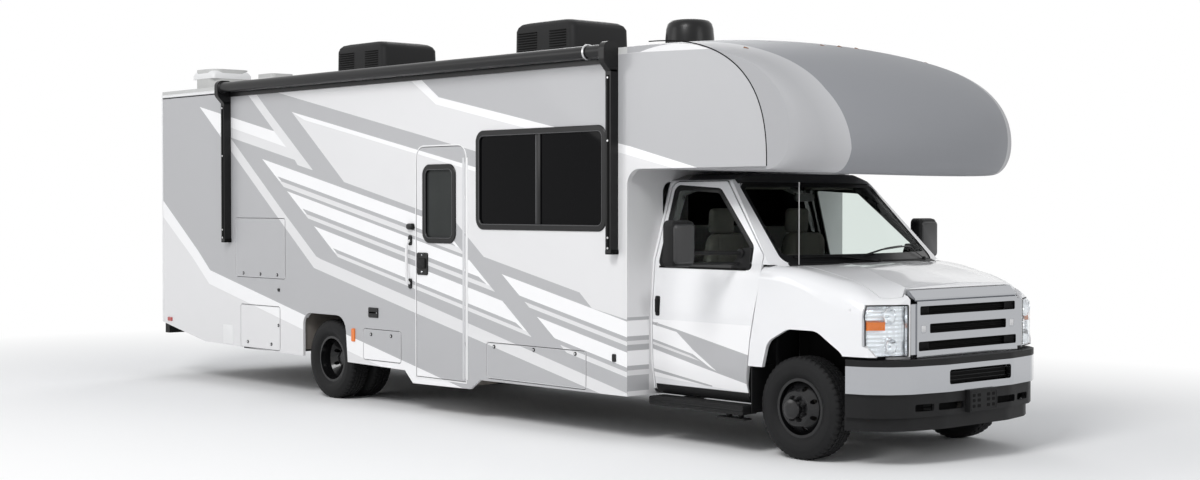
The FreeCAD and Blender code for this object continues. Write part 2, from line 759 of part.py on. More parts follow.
def entryDoor():
    plate = slab("entryPlate", "side", entryOutline(), "-halfWidth", "wallThick - halfWidth")
    hole = slab(
        "entryHole", "side", rectangle((-4060, -3647), (1510, 2130), 50), "-(halfWidth + 20)",
        "wallThick + 20 - halfWidth"
    )
    piece("entry_door", cut("entryPanel", plate, hole))
    piece(
        "entry_window",
        slab(
            "entryPane", "side", rectangle((-4060, -3647), (1510, 2130), 50), "10 - halfWidth",
            "32 - halfWidth"
        )
    )


def lockerDoors():
    for label, (rear, front, low, high, hinged, side) in lockers.items():
        piece("locker_" + label, slab(
            "lockerDoor" + label, "side", rectangle((rear, front), (low, high), 25), *across(
                side, "halfWidth - skirtThick", "halfWidth"
            )))


# Cab
cabSection = [
    (-960, 360, 40), (-1000, 600, 200), (-1010, 1000, 400), (-985, 1385, 60), (-795, 1995, 50),
    (-600, 2050, 200),
    (600, 2050, 200), (795, 1995, 50), (985, 1385, 60), (1010, 1000, 400), (1000, 600, 200), (960, 360, 40),
]
cabDoorLine = [
    (-475, 372, 40), (-495, 500, 100), (-447, 828, 300), (-371, 1196, 300), (-346, 1380, 40),
    (-346, 1440, 40), (-868, 1988, 60),
    (-1440, 1988, 70), (-1450, 1541, 400), (-1460, 1078, 400), (-1462, 372, 40),
]
cabGlassLine = [
    (-452, 1346, 30), (-468, 1505, 60), (-925, 1926, 80), (-1402, 1955, 45), (-1402, 1346, 40),
]


def sectionInset(inset):
    """The cab's cross-section drawn in by a wall's thickness."""
    points = []
    for y, z, radius in cabSection:
        rise = -inset if z > 1900 else 0
        points.append((y - inset * math.copysign(1, y), z + rise, max(radius - inset, 10)))
    return points


def cavityLine(inset):
    """The cab's room in cross-section: the walls drawn in, and a flat floor."""
    walls = [point for point in sectionInset(inset) if point[1] > d.cabFloorHigh]
    foot = abs(walls[0][0]) - 10
    return [(-foot, d.cabFloorHigh)] + walls + [(foot, d.cabFloorHigh)]


def glassBow(offset):
    """In plan, the bowed line of the windshield's foot: two ends and a middle."""
    return [Vector(-240 + offset, -885, 0), Vector(-75 + offset, 0, 0), Vector(-240 + offset, 885, 0)]


def screenBand(name, back, front, foot=1345):
    """A bowed band leaning back like the windshield, between two offsets along the vehicle."""
    head = 2120
    lean = -(838 - 242) / (1981 - 1390)
    lines = []
    for offset in (back, front):
        ends = glassBow(offset)
        wide = 1100 / 885
        ends = [
            Vector(a.x if a.y == 0 else ends[1].x + (a.x - ends[1].x) * wide ** 2, a.y * wide, foot)
            for a in ends
        ]
        lines.append(ends)
    near, far = lines
    face = Part.Face(Part.Wire([
        Part.Arc(*near).toShape(), Part.LineSegment(near[2], far[2]).toShape(),
        Part.Arc(*reversed(far)).toShape(), Part.LineSegment(far[0], near[0]).toShape(),
    ]))
    shift = lean * (foot - 1383)
    face.translate(Vector(shift, 0, 0))
    return shaped(name, face.extrude(Vector(lean * (head - foot), 0, head - foot)))


screenLine = [(-872, 1388, 50), (872, 1388, 50), (762, 1975, 60), (-762, 1975, 60)]


def cab():
    """The cab's shell: a hollow body cut by its doors, its windshield and the way through to the coach."""
    low = "-cabBack"
    outer = slab("cabOuter", "front", cabSection, low, -7)
    ahead = screenBand("aheadOfScreen", 0, 1600)
    aheadOfCowl = screenBand("aheadOfCowl", 60, 1600, d.noseLedge)
    body = cut("cabBody", outer, ahead, aheadOfCowl)
    inner = slab("cabInner", "front", cavityLine(d.shellThick), "-(cabBack + 10)", "-330")
    innerAhead = screenBand("aheadOfRoom", -d.shellThick, 1600)
    room = cut("cabRoom", inner, innerAhead)
    openings = [
        room, block("noseRoom", ("-cowlBack", 10), (-1100, 1100), (300, "noseLedge")),
        block("underFloor", ("-(cabBack + 10)", -40), (-880, 880), (300, "cabFloorLow + 2")),
        block("wheelRoom", (-440, 0), (-1100, 1100), (300, 1130)),
        block("engineRoom", (-329, 10), (-700, 700), (500, 1262)),
    ]
    dashSpace = shared(
        "dashSpace", slab("dashWalls", "front", cavityLine(d.shellThick), -335, 0),
        block("dashLevel", (-335, 0), (-1100, 1100), (1335, 2100)))
    openings.append(cut("dashRoom", dashSpace, screenBand("aheadOfDash", -d.shellThick, 1600)))
    screenHole = slab("screenHole", "front", screenLine, -1100, 100)
    openings.append(shared("screenCut", screenHole, screenBand("screenDepth", -80, 5)))
    for side in both:
        name = names[side]
        grown = slab("cabDoorHole" + name, "side", growDoor(), *across(side, 725, 1100))
        skin = cut(
            "holeSkin" + name, slab("holeOuter" + name, "front", sectionInset(-10), -1490, -320),
            slab("holeInner" + name, "front", sectionInset(d.doorThick + d.cabDoorGap), -1500, -310))
        openings.append(shared("cabDoorway" + name, grown, skin))
        openings.append(block("fenderRoom" + name, (-505, 0), across(side, 925, 1100), (300, "cowlHeight")))
        openings.append(
            block("hingeRoom" + name, (-620, -300), across(side, 850, 1100), ("cabFloorHigh + 10", 1345))
        )
    shell = cut("cabShell", body, *openings)
    ringOuter = slab("ringOuter", "front", sectionInset(d.doorThick + d.cabDoorGap), low, -1425)
    ringInner = slab(
        "ringInner", "front", cavityLine(d.doorThick + d.cabDoorGap + 50), "-(cabBack + 10)", -1420
    )
    ringUnder = block("ringUnder", ("-(cabBack + 10)", -1420), (-880, 880), (300, "cabFloorLow + 4"))
    toeBoards = [
        block(
            "toeBoard" + names[side], (-450, -436), across(side, 190, 850), ("cabFloorLow", 1024)
        ) for side in both]
    piece("cab_shell", shell, cut("backRing", ringOuter, ringInner, ringUnder), *toeBoards)
    pane = shared(
        "screenPane", slab("screenFace", "front", screenLine, -1100, 100),
        screenBand("screenGlass", -d.glassThick - 8, -8)
    )
    piece("windshield", pane)


def growDoor():
    """The cab door's outline with its gap all round."""
    gap = d.cabDoorGap
    middle = (-920, 1200)
    points = []
    for x, z, radius in cabDoorLine:
        stretch = gap * 1.6 if z > 1900 and x < -1200 else gap
        points.append(
            (x + math.copysign(stretch, x - middle[0]), z + math.copysign(gap, z - middle[1]), radius)
        )
    return points


def cabDoor(side):
    name = names[side]
    skin = cut(
        "doorSkin" + name, slab("doorOuter" + name, "front", cabSection, -1480, -330),
        slab("doorInner" + name, "front", sectionInset(d.doorThick), -1490, -320))
    panel = shared(
        "doorPanel" + name, skin, slab("doorShape" + name, "side", cabDoorLine, *across(side, 735, 1100))
    )
    opening = slab("doorWindow" + name, "side", cabGlassLine, *across(side, 600, 1100))
    piece("cab_door_" + name, cut("cabDoor" + name, panel, opening))
    middle = cut(
        "glassSkin" + name, slab("glassOuter" + name, "front", sectionInset(12), -1480, -330),
        slab("glassInner" + name, "front", sectionInset(12 + d.glassThick), -1490, -320))
    piece(
        "cab_glass_" + name,
        shared(
            "doorGlass" + name, middle,
            slab("glassShape" + name, "side", cabGlassLine, *across(side, 600, 1100))
        )
    )


def mirror(side):
    """A tall mirror head on two level arms from a foot at the door glass's front corner."""
    name = names[side]
    head = slab(
        "mirrorHead" + name, "front", rectangle(sorted((side * 1300, side * 1550)), (1360, 1700), 45), -790,
        -690
    )
    arms = [slab(
        "mirrorArm%d%s" % (index, name), "plan",
        [(-620, side * 985), (-520, side * 985), (-700, side * 1310), (-775, side * 1310)], low, high)
        for index, (low, high) in enumerate(((1368, 1402), (1438, 1486)))]
    foot = cut(
        "mirrorFoot" + name, block("mirrorBase" + name, (-640, -500), across(side, 940, 1010), (1335, 1500)),
        slab("footSkin" + name, "front", cabSection, -800, -400))
    piece("mirror_" + name, head, *arms, foot)


noseLine = [
    (-520, 380), (-520, 1500), (640, 1500), (666, 1232, 10), (756, 1142, 20), (752, 760), (735, 500),
    (600, 380),
]
nosePlan = [
    (-520, -1080), (420, -1080), (650, -935, 260), (757, -610, 140), (757, 610, 140), (650, 935, 260),
    (420, 1080), (-520, 1080),
]
noseRibs = {  # at each place ahead of the axle: the section's foot, side, shoulder, crease and middle
    -505: ((990, 370), (1008, 800), (1008, 1378, 80), (420, 1399), (0, 1405)),
    -300: ((990, 370), (1008, 800), (1008, 1371, 95), (415, 1393), (0, 1399)),
    -100: ((990, 370), (1008, 800), (1007, 1362, 110), (410, 1386), (0, 1392)),
    250: ((990, 370), (1006, 800), (1000, 1281, 165), (500, 1345), (0, 1355)),
    500: ((960, 370), (977, 800), (977, 1187, 165), (560, 1275), (0, 1300)),
    666: ((930, 370), (940, 800), (930, 1066, 90), (600, 1229), (0, 1250)),
    800: ((900, 370), (905, 800), (895, 1000, 80), (640, 1140), (0, 1165)),
}
hoodPlan = [
    (-124, -790), (600, -800, 60), (690, -680, 15), (650, -606), (650, 606), (690, 680, 15), (600, 800, 60),
    (-124, 790)
]
hoodBow = [(-47, 500), (-6, 250), (8, 0), (-6, -250), (-47, -500)]
hoodHolePlan = [
    (-132, -798), (604, -808, 60), (700, -684, 15), (656, -600), (656, 600), (700, 684, 15), (604, 808, 60),
    (-132, 798)
]
hoodHoleBow = [(-55, 500), (-14, 250), (0, 0), (-14, -250), (-55, -500)]
lampFace = [(668, 765, 20), (668, 1122, 20), (1015, 1120), (1015, 925, 30), (905, 765, 30)]


def shrink(points, inset, middle):
    """An outline drawn in towards a middle line on both axes."""
    result = []
    for point in points:
        a = point[0] - inset * math.copysign(1, point[0] - middle[0])
        b = point[1] - inset * math.copysign(1, point[1] - middle[1])
        result.append((a, b, *point[2:]))
    return result


def noseRib(station, inset):
    """The nose's section at one place, its walls drawn in by inset."""
    half = []
    for y, z, *radius in noseRibs[station]:
        half.append(
            (max(y - inset, 0), z - inset if z > 900 else z - inset / 3, *[max(r - inset, 20)
            for r in radius])
        )
    outline = wire("front", [(-y, *rest) for y, *rest in half] + half[-2::-1])
    outline.translate(Vector(station, 0, 0))
    return outline


def noseBody(name, inset):
    """The nose, lofted through its sections and kept within its side view and its plan."""
    loft = doc.addObject("Part::Loft", name + "Loft")
    loft.Sections = [
        shaped("%sRib%d" % (name, index), noseRib(station, inset)) for index, station in enumerate(noseRibs)
    ]
    loft.Solid = True
    loft.Ruled = False
    side = slab(name + "Side", "side", shrink(noseLine, inset, (200, 900)), -1100, 1100)
    plan = slab(name + "Plan", "plan", shrink(nosePlan, inset, (0, 0)), 300, 1500)
    return shared(name, loft, side, plan)


def nose():
    """Fenders, hood, lamps and grille, all from one nose."""
    outer = noseBody("noseOuter", 0.0)
    inner = noseBody("noseInner", d.shellThick)
    shell = cut("noseShell", outer, inner)
    piece("hood", shared("hoodPanel", shell, slab("hoodBlock", "plan", hoodPlan, 1128, 1500, curve=hoodBow)))
    fenderShell = cut("fenderShell", outer, inner)
    behindCowl = shared(
        "behindCowl", screenBand("cowlBand", -1200, 68, d.noseLedge), block(
            "cowlWidth", (-1500, 200), (-925, 925), (1200, 2200)
        ))
    openings = [
        slab("hoodHole", "plan", hoodHolePlan, 1122, 1500, curve=hoodHoleBow), behindCowl,
        block("underNose", (-600, 900), (-1100, 1100), (300, 560)), block(
            "behindWheel", (-600, 0), (-1100, 1100), (300, 640)
        ),
        block("behindBumper", (400, 900), (-1100, 1100), (300, 765)),
        block("noseBack", (-600, "3 - cowlBack"), (-925, 925), (300, "noseLedge")),
        slab("grilleHole", "front", rectangle((-658, 658), (750, 1225)), 600, 900),
    ]
    liners = []
    for side in both:
        name = names[side]
        openings.append(slab("frontArch" + name, "side", wheelArch(), *across(side, 700, 1100)))
        openings.append(slab("lampHole" + name, "front", lampOutline(side, 3), 563, 900))
        openings.append(slab("doorEdge" + name, "side", growDoor(), *across(side, 800, 1100)))
        liners.append(block("liner" + name, (-325, 686), across(side, 585, 597), (562, 1095)))
        liners.append(block("linerTop" + name, (-325, 480), across(side, 585, 985), (1083, 1095)))
    piece("fenders", cut("fenderPanels", fenderShell, *openings), *liners)
    lensShell = cut("lensShell", noseBody("lensOuter", 2.0), noseBody("lensInner", 60.0))
    lamps = [shared(
        "lamp" + names[side], lensShell, slab(
            "lampShape" + names[side], "front", lampOutline(side, 0), 566, 900
        ))
        for side in both]
    piece("headlamps", *lamps)
    face = slab("grilleFace", "front", rectangle((-593, 593), (749, 1142)), 700, 750)
    slots = [
        slab("grilleSlot%d" % index, "front", rectangle((-half, half), (low, high), 12), 690, 760)
        for index, (low, high, half) in enumerate(((797, 862, 575), (917, 983, 450), (1046, 1108, 560)))]
    grille = [
        cut("openGrille", face, *slots), block("grilleBack", (690, 702), (-590, 590), (772, 1136)),
        slab("brow", "side", [(666, 1229, 8), (756, 1140, 15), (700, 1140), (664, 1176)], -598, 598),
    ]
    for side in both:
        grille.append(block("grilleStrip" + names[side], (690, 742), across(side, 592, 655), (775, 1125)))
    piece("grille", *grille)


def lampOutline(side, grow):
    points = [
        (side * (a + (grow if a > 700 else -grow)), z + math.copysign(grow, z - 950), *r) for a, z,
        *r in lampFace
    ]
    return points


def wheelArch():
    """The front wheel opening, seen from the side."""
    return [
        (-330, 200), (-329, 640, 60), (-270, 830, 120), (-80, 928, 160), (190, 928, 160), (400, 790, 120),
        (470, 660, 60), (500, 200)
    ]


def bumper():
    """A bar that wraps round to both wheel openings, with the apron and the plate bracket below it."""
    outline = [(449, 1000), (600, 955, 200), (720, 850, 150), (795, 715, 200), (857, 380, 300)]
    bar = slab("bumperBar", "plan", bowedBar(outline, 32), "bumperLow", "bumperHigh")
    slot = slab("bumperSlot", "front", rectangle((-363, 363), (561, 663), 20), 700, 900)
    stayLine = [
        (690, 500), (690, 556), (765, 556), (765, 640), (826, 640), (826, 562), (812, 562), (812, 500)
    ]
    stays = [slab("bumperStay" + names[side], "side", stayLine, *across(side, 366, 426)) for side in both]
    piece("bumper_front", cut("openBumper", bar, slot), *stays)
    high = slab(
        "apronHigh", "plan", bowedBar([(a - 15, b - 15 if b > 500 else b, *r) for a, b, *r in outline], 22),
        345, "bumperLow"
    )
    lip = slab(
        "apronLip", "plan", bowedBar([(a - 40, b - 40 if b > 500 else b, *r) for a, b, *r in outline], 22),
        250, 347
    )
    slots = [
        slab(
            "apronSlot%d%s" % (index, names[side]), "front",
            rectangle(sorted((side * near, side * far)), (385, 435), 15), 600, 900
        )
        for index, (near, far) in enumerate(((179, 450), (490, 660))) for side in both]
    bracket = block("plateBracket", ("bracketFace - 52", "bracketFace"), (-161, 161), (352, 509))
    holes = [rod("plateHole%d" % index, "x", 700, 900, 3.5, y=y, z=490) for index, y in enumerate((-89, 89))]
    pad = slab("bumperPad", "plan", bowedBar(outline, 100), "bumperHigh", 745)
    apron = fuse("apronAndBracket", cut("openApron", high, *slots), lip, bracket)
    piece(
        "apron", cut("plateHoles", apron, *holes),
        cut("padAhead", pad, block("padRoom", (0, 900), (-1100, 1100), (690, 700)))
    )


def bowedBar(half, thick):
    """A bar's plan outline from one side's points, (x, y, radius) from the rear to the middle."""
    outer = half + [(a, -b, *r) for a, b, *r in reversed(half)]
    inner = []
    for a, b, *r in half:
        along, across = (thick, 0) if b < 500 else (thick * 0.6, thick * 0.8)
        inner.append((a - along, b - across, *[max(e - thick, 20) for e in r]))
    back = inner + [(a, -b, *r) for a, b, *r in reversed(inner)]
    return outer + back[::-1]


def steps():
    """A running board on each side with its brackets, and the flaps behind the front wheels."""
    solids = []
    for side in both:
        name = names[side]
        solids.append(
            slab(
                "board" + name, "side", rectangle((-1436, -449), (284, 352), 20), *across(side, 920, 1070)
            )
        )
        for end, station in enumerate((-1350, -560)):
            span = (station - 20, station + 20)
            solids.append(
                block("boardBracket%d%s" % (end, name), span, across(side, "railHalf + 30", 920), (300, 330))
            )
            solids.append(
                block(
                    "boardDrop%d%s" % (end, name), span, across(side, "railHalf", "railHalf + 30"), (300, 450)
                )
            )
        solids.append(block("mudFlap" + name, (-434, -426), across(side, 760, 1000), (300, 640)))
    group("running_boards", *solids)


def interior():
    seats = []
    for side in both:
        name = names[side]
        middle = side * 440
        low, high = middle - 250, middle + 250
        seats.append(
            block("seatBase" + name, (-1230, -820), (middle - 170, middle + 170), ("cabFloorHigh", 860))
        )
        cushion = [(-1240, 860, 30), (-730, 880, 50), (-740, 990, 50), (-1200, 985)]
        seats.append(slab("cushion" + name, "side", cushion, low, high))
        back = [(-1250, 930, 30), (-1130, 940, 30), (-1220, 1600, 50), (-1330, 1590, 50)]
        seats.append(slab("back" + name, "side", back, low + 10, high - 10))
        seats.append(
            slab(
                "headrest" + name, "side",
                [(-1320, 1580, 20), (-1230, 1580, 20), (-1240, 1790, 35), (-1320, 1780, 35)], middle - 130,
                middle + 130
            )
        )
    piece("seats", *seats)
    panel = slab(
        "dashPanel", "side",
        [(-335, 1000), (-335, 1340), (-420, 1345, 40), (-560, 1270, 60), (-570, 1060, 60)], -865, 865
    )
    doghouse = slab(
        "engineCover", "side",
        [(-335, d.cabFloorHigh), (-335, 1010), (-800, 950, 80), (-880, d.cabFloorHigh)], -185, 185
    )
    piece("dash", panel, doghouse)
    ring = doc.addObject("Part::Torus", "wheelRing")
    ring.Radius1 = 185
    ring.Radius2 = 15
    ring.Placement = FreeCAD.Placement(Vector(-690, 440, 1225), FreeCAD.Rotation(Vector(0, 1, 0), -62))
    post = doc.addObject("Part::Cylinder", "steeringPost")
    post.Radius = 32
    post.Height = 126
    post.Placement = FreeCAD.Placement(Vector(-695, 440, 1223), FreeCAD.Rotation(Vector(0, 1, 0), 118))
    spoke = doc.addObject("Part::Box", "steeringSpoke")
    spoke.Length, spoke.Width, spoke.Height = 50, 370, 14
    spoke.Placement = FreeCAD.Placement(Vector(-700, 255, 1205), FreeCAD.Rotation(Vector(0, 1, 0), -62))
    piece("steering_wheel", ring, post, spoke)


def awning():
    """Two arms on the right wall, the furled roller between their heads, and the rail above it."""
    solids = []
    for index, station in enumerate((-7365, -1612)):
        rear, front = station - 30, station + 30
        solids.append(
            slab(
                "awningArm%d" % index, "side", rectangle((rear, front), (1440, 2850), 10), "-awningReach",
                "-halfWidth"
            )
        )
        solids.append(slab(
            "awningHead%d" % index, "front",
            [
                (-d.halfWidth, 2826), (-d.awningReach, 2826, 20), (-d.awningReach - 72, 2900, 60),
                (-d.awningReach - 72, 3055, 60), (-d.halfWidth, 3055, 30)],
            rear, front))
    span = (-7335, -1642)
    solids.append(rod("roller", "x", *span, "tubeRadius", y="-(awningReach + 10)", z="tubeHeight"))
    solids.append(block("awningRail", span, ("-(halfWidth + 24)", "-halfWidth"), (2895, 2935)))
    group("awning", *solids)


def roofUnits():
    """Two air conditioners and the closed dome of an aerial along the roof's middle."""
    solids = []
    for index, (rear, front) in enumerate(((-6840, -5980), (-3980, -3145))):
        line = [
            (rear, 3085), (rear, 3400, 50), (rear + 280, 3440, 400), (front - 320, 3440, 400),
            (front - 30, 3400, 120), (front, 3085)
        ]
        solids.append(shared(
            "airUnit%d" % index, slab("airSide%d" % index, "side", line, -345, 345),
            slab("airPlan%d" % index, "plan", rectangle((rear, front), (-340, 340), 60), "roofCrown", 3500)))
    dome = doc.addObject("Part::Cone", "domeAerial")
    bind(dome, Radius1=217, Radius2=180, Height=248, x=-2070, y=0, z="roofCrown")
    solids.append(dome)
    group("roof_units", *solids)


def rearEnd():
    """Bumper bar with its hitch receiver below it, the ladder and the tail lamps."""
    bar = block("rearBar", (-8850, -8762), (-1180, 1180), (440, 545))
    stays = [
        block("rearStay" + names[side], (-8762, "-railRearBack"), across(side, 372, 424), (450, 545))
        for side in both
    ]
    receiver = cut(
        "openReceiver", block("receiver", (-8860, -8500), (-38, 38), (364, 440)),
        block("receiverHole", (-8870, -8600), (-25.4, 25.4), (376.6, 427.4)), rod(
            "pinHole", "y", -50, 50, 8.1, x=-8795, z=402
        ))
    bridge = block("receiverBridge", (-8660, -8600), (-430, 430), (440, "railTopRear - railDepth"))
    group("rear_bumper", bar, *stays, receiver, bridge)
    rails = []
    for index, y in enumerate((520, 860)):
        rails.append(rod("ladderRail%d" % index, "z", 700, 3120, 14, x=-8825, y=y))
        for end, height in enumerate((760, 1700, 2700)):
            rails.append(rod("ladderFoot%d%d" % (index, end), "x", -8825, "-rearBack", 10, y=y, z=height))
        rails.append(rod("ladderTop%d" % index, "x", -8825, -8500, 14, y=y, z=3120))
        rails.append(rod("ladderTopFoot%d" % index, "z", roofHeight(y - 10), 3120, 10, x=-8510, y=y))
    for index in range(8):
        rails.append(rod("rung%d" % index, "y", 520, 860, 11, x=-8825, z=800 + 290 * index))
    piece("ladder", *rails)
    lamps = [slab(
        "tailLamp" + names[side], "front", rectangle((side * 1100 - 60, side * 1100 + 60), (800, 1180), 25),
        "-(rearBack + 22)", "-rearBack") for side in both]
    piece("tail_lamps", *lamps)


chassis()
exhaust()
tanks()
frontAxle()
rearAxle()
for end in both:
    knuckle(end)
    wheels(end)
floorAndSteps()
for end in both:
    wall(end)
skirts()
endWalls()
lockerBoxes()
roof()
cabOver()
coachGlass()
entryDoor()
lockerDoors()
cab()
for end in both:
    cabDoor(end)
    mirror(end)
nose()
bumper()
steps()
interior()
awning()
roofUnits()
rearEnd()
doc.recompute()

failed = [thing.Name for thing in doc.Objects if "Invalid" in thing.State or "Error" in thing.State]
if failed:
    raise RuntimeError("failed: " + ", ".join(failed))
os.makedirs("parts", exist_ok=True)
for whole in pieces:
    shape = whole.Shape
    if shape.isNull() or not shape.isValid() or not shape.Solids:
        raise RuntimeError("%s has no valid shape" % whole.Label)
    shape.exportStep("parts/%s.step" % whole.Label)
    box = shape.BoundBox
    print("%-22s %3d solids %8.4f m3  x %6.0f %6.0f  y %6.0f %6.0f  z %6.0f %6.0f" % (
        whole.Label, len(shape.Solids), shape.Volume / 1e9, box.XMin, box.XMax, box.YMin, box.YMax, box.ZMin,
        box.ZMax))
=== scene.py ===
import math
import bmesh
import bpy
import numpy as np
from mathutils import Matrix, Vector
from mathutils.geometry import delaunay_2d_cdt


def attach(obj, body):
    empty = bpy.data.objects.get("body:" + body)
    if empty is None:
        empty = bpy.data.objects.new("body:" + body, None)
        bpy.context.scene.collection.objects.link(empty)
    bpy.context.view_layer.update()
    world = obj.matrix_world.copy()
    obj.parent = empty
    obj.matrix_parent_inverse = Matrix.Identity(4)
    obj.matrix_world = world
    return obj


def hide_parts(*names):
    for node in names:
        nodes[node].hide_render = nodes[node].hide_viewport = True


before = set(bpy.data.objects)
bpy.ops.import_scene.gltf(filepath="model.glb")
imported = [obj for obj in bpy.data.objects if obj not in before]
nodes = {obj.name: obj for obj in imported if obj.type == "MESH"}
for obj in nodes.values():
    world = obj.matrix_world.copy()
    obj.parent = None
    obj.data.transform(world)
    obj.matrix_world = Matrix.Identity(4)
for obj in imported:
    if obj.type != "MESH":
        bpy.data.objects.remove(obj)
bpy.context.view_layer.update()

# Metres. Places along the vehicle are measured from the front axle; makePiece adds frontAxle to them.
frontAxle = 3.989
halfWidth = 1.256
rearWall, frontWall = -8.753, -1.482
rightSide, leftSide = -1, 1
sideNames = {"left": leftSide, "right": rightSide}
print("frame loaded:", len(nodes), "nodes")


# Shapes: each is (points, faces, material number). Points are arrays of x, y, z.

def gridFaces(rows, columns, wrapRows=False, wrapColumns=False):
    r = np.arange(rows if wrapRows else rows - 1)[:, None]
    c = np.arange(columns if wrapColumns else columns - 1)[None, :]
    r2, c2 = (r + 1) % rows, (c + 1) % columns
    quads = np.stack(
        np.broadcast_arrays(r * columns + c, r * columns + c2, r2 * columns + c2, r2 * columns + c), -1
    )
    return quads.reshape(-1, 4).tolist()


def patch(grid, material=0, wrapRows=False, wrapColumns=False, capEnds=False):
    # a grid of points (rows, columns, 3); caps close the first and the last row
    rows, columns = grid.shape[:2]
    faces = gridFaces(rows, columns, wrapRows, wrapColumns)
    if capEnds:
        faces += [list(range(columns))[::-1], [(rows - 1) * columns + k for k in range(columns)]]
    return grid.reshape(-1, 3), faces, material


def onPlane(plane, a, b, depth):
    # a and b are the drawing's axes: side is x and z, front is y and z, plan is x and y
    a, b, depth = np.broadcast_arrays(a, b, depth)
    order = {"side": (a, depth, b), "front": (depth, a, b), "plan": (a, b, depth)}[plane]
    return np.stack(order, -1)


def roundOutline(corners, steps=6):
    # corners (a, b) or (a, b, radius); an arc of steps points replaces each corner that has a radius
    result = []
    for index, corner in enumerate(corners):
        here = np.array(corner[:2], float)
        if len(corner) < 3:
            result.append(here)
            continue
        before = np.array(corners[index - 1][:2], float) - here
        after = np.array(corners[(index + 1) % len(corners)][:2], float) - here
        before /= np.linalg.norm(before)
        after /= np.linalg.norm(after)
        half = math.acos(np.clip(before @ after, -1, 1)) / 2
        reach = corner[2] / math.tan(half)
        middle = (before + after) / np.linalg.norm(before + after)
        centre = here + middle * corner[2] / math.sin(half)
        first, last = here + before * reach - centre, here + after * reach - centre
        turn = math.atan2(first[0] * last[1] - first[1] * last[0], first @ last)
        angles = math.atan2(first[1], first[0]) + turn * np.linspace(0, 1, steps)
        result.extend(centre + corner[2] * np.stack([np.cos(angles), np.sin(angles)], -1))
    return np.array(result)


def rectangle(left, right, low, high, radius=0.0):
    ends = [(left, low), (right, low), (right, high), (left, high)]
    return [(*end, radius) for end in ends] if radius else ends


def area(outline):
    a, b = outline[:, 0], outline[:, 1]
    return 0.5 * float(np.sum(a * np.roll(b, -1) - np.roll(a, -1) * b))


def grow(outline, distance):
    # every point moves out along the mean of its two edges' normals
    outline = outline if area(outline) > 0 else outline[::-1]
    ahead = np.roll(outline, -1, 0) - outline
    ahead /= np.linalg.norm(ahead, axis=1, keepdims=True) + 1e-12
    normal = np.stack([ahead[:, 1], -ahead[:, 0]], -1)
    mean = normal + np.roll(normal, 1, 0)
    mean /= np.maximum(np.sum(mean * mean, 1, keepdims=True), 0.2) / 2
    return outline + distance * mean


def prism(corners, plane, low, high, bevel=0.0, material=0, steps=6):
    # an outline given a depth, with a small round on the high end's edge
    outline = roundOutline(corners, steps)
    outline = outline if area(outline) > 0 else outline[::-1]
    rings = [(0.0, low)]
    if bevel:
        sign = 1 if high > low else -1
        rings += [
            (-bevel * (1 - math.cos(t)), high - sign * bevel * (1 - math.sin(t)))
            for t in (0, 0.5, 1.05, math.pi / 2)
        ]
    else:
        rings.append((0.0, high))
    grid = np.stack([onPlane(plane, *grow(outline, shift).T, depth) for shift, depth in rings])
    return patch(grid, material, wrapColumns=True, capEnds=True)


def ring(corners, width, plane, low, high, bevel=0.004, material=0, steps=8):
    # a frame round an outline: width goes outwards, and its high edges are rounded
    outline = roundOutline(corners, steps)
    sign = 1 if high > low else -1
    section = [
        (0, low), (0, high - sign * bevel), (bevel, high), (width - bevel, high),
        (width, high - sign * bevel), (width, low)
    ]
    grid = np.stack([onPlane(plane, *grow(outline, shift).T, depth) for shift, depth in section])
    return patch(grid, material, wrapRows=True, wrapColumns=True)


def sweep(path, section, closed=False, material=0, up=(0, 0, 1)):
    # a section of (side, up) points carried along a path, its up kept near the given direction
    path = np.asarray(path, float)
    section = np.asarray(section, float)
    ahead = np.roll(path, -1, 0) - np.roll(path, 1, 0) if closed else np.gradient(path, axis=0)
    ahead /= np.linalg.norm(ahead, axis=1, keepdims=True)
    side = np.cross(ahead, np.asarray(up, float))
    side /= np.linalg.norm(side, axis=1, keepdims=True) + 1e-12
    over = np.cross(side, ahead)
    grid = path[:, None] + side[:, None] * section[None, :, :1] + over[:, None] * section[None, :, 1:]
    return patch(grid, material, wrapRows=closed, wrapColumns=True, capEnds=not closed)


def circle(radius, sides=12, flat=1.0):
    angles = np.linspace(0, 2 * math.pi, sides, endpoint=False)
    return np.stack([radius * np.cos(angles), radius * flat * np.sin(angles)], -1)


def smoothPath(points, steps=6):
    # a Catmull-Rom line through the points
    points = np.asarray(points, float)
    padded = np.vstack([2 * points[0] - points[1], points, 2 * points[-1] - points[-2]])
    t = np.linspace(0, 1, steps, endpoint=False)[:, None]
    runs = []
    for index in range(len(points) - 1):
        a, b, c, e = padded[index:index + 4]
        runs.append(
            0.5 * (
                2 * b + (c - a) * t + (2 * a - 5 * b + 4 * c - e) * t ** 2 + (3 * b - a - 3 * c + e) * t ** 3
            )
        )
    return np.vstack(runs + [points[-1:]])


def tube(path, radius, sides=12, material=0, up=(0, 0, 1), flat=1.0):
    return sweep(path, circle(radius, sides, flat), material=material, up=up)


def lathe(profile, centre, axis, sides, material=0):
    # (along, radius) points turned about an axis through a centre; the last point joins the first
    profile = np.asarray(profile, float)
    angles = np.linspace(0, 2 * math.pi, sides, endpoint=False)
    along = np.broadcast_to(profile[:, :1], (len(profile), sides))
    c, s = profile[:, 1:] * np.cos(angles), profile[:, 1:] * np.sin(angles)
    order = {"x": (along, c, s), "y": (c, along, s), "z": (c, s, along)}[axis]
    grid = np.stack(order, -1) + np.asarray(centre, float)
    return patch(grid, material, wrapRows=True, wrapColumns=True)


def knob(profile, centre, axis, sides, material=0):
    # a solid turned part: the profile starts and ends on the axis
    return lathe([(profile[0][0], 0.0), *profile, (profile[-1][0], 0.0)], centre, axis, sides, material)


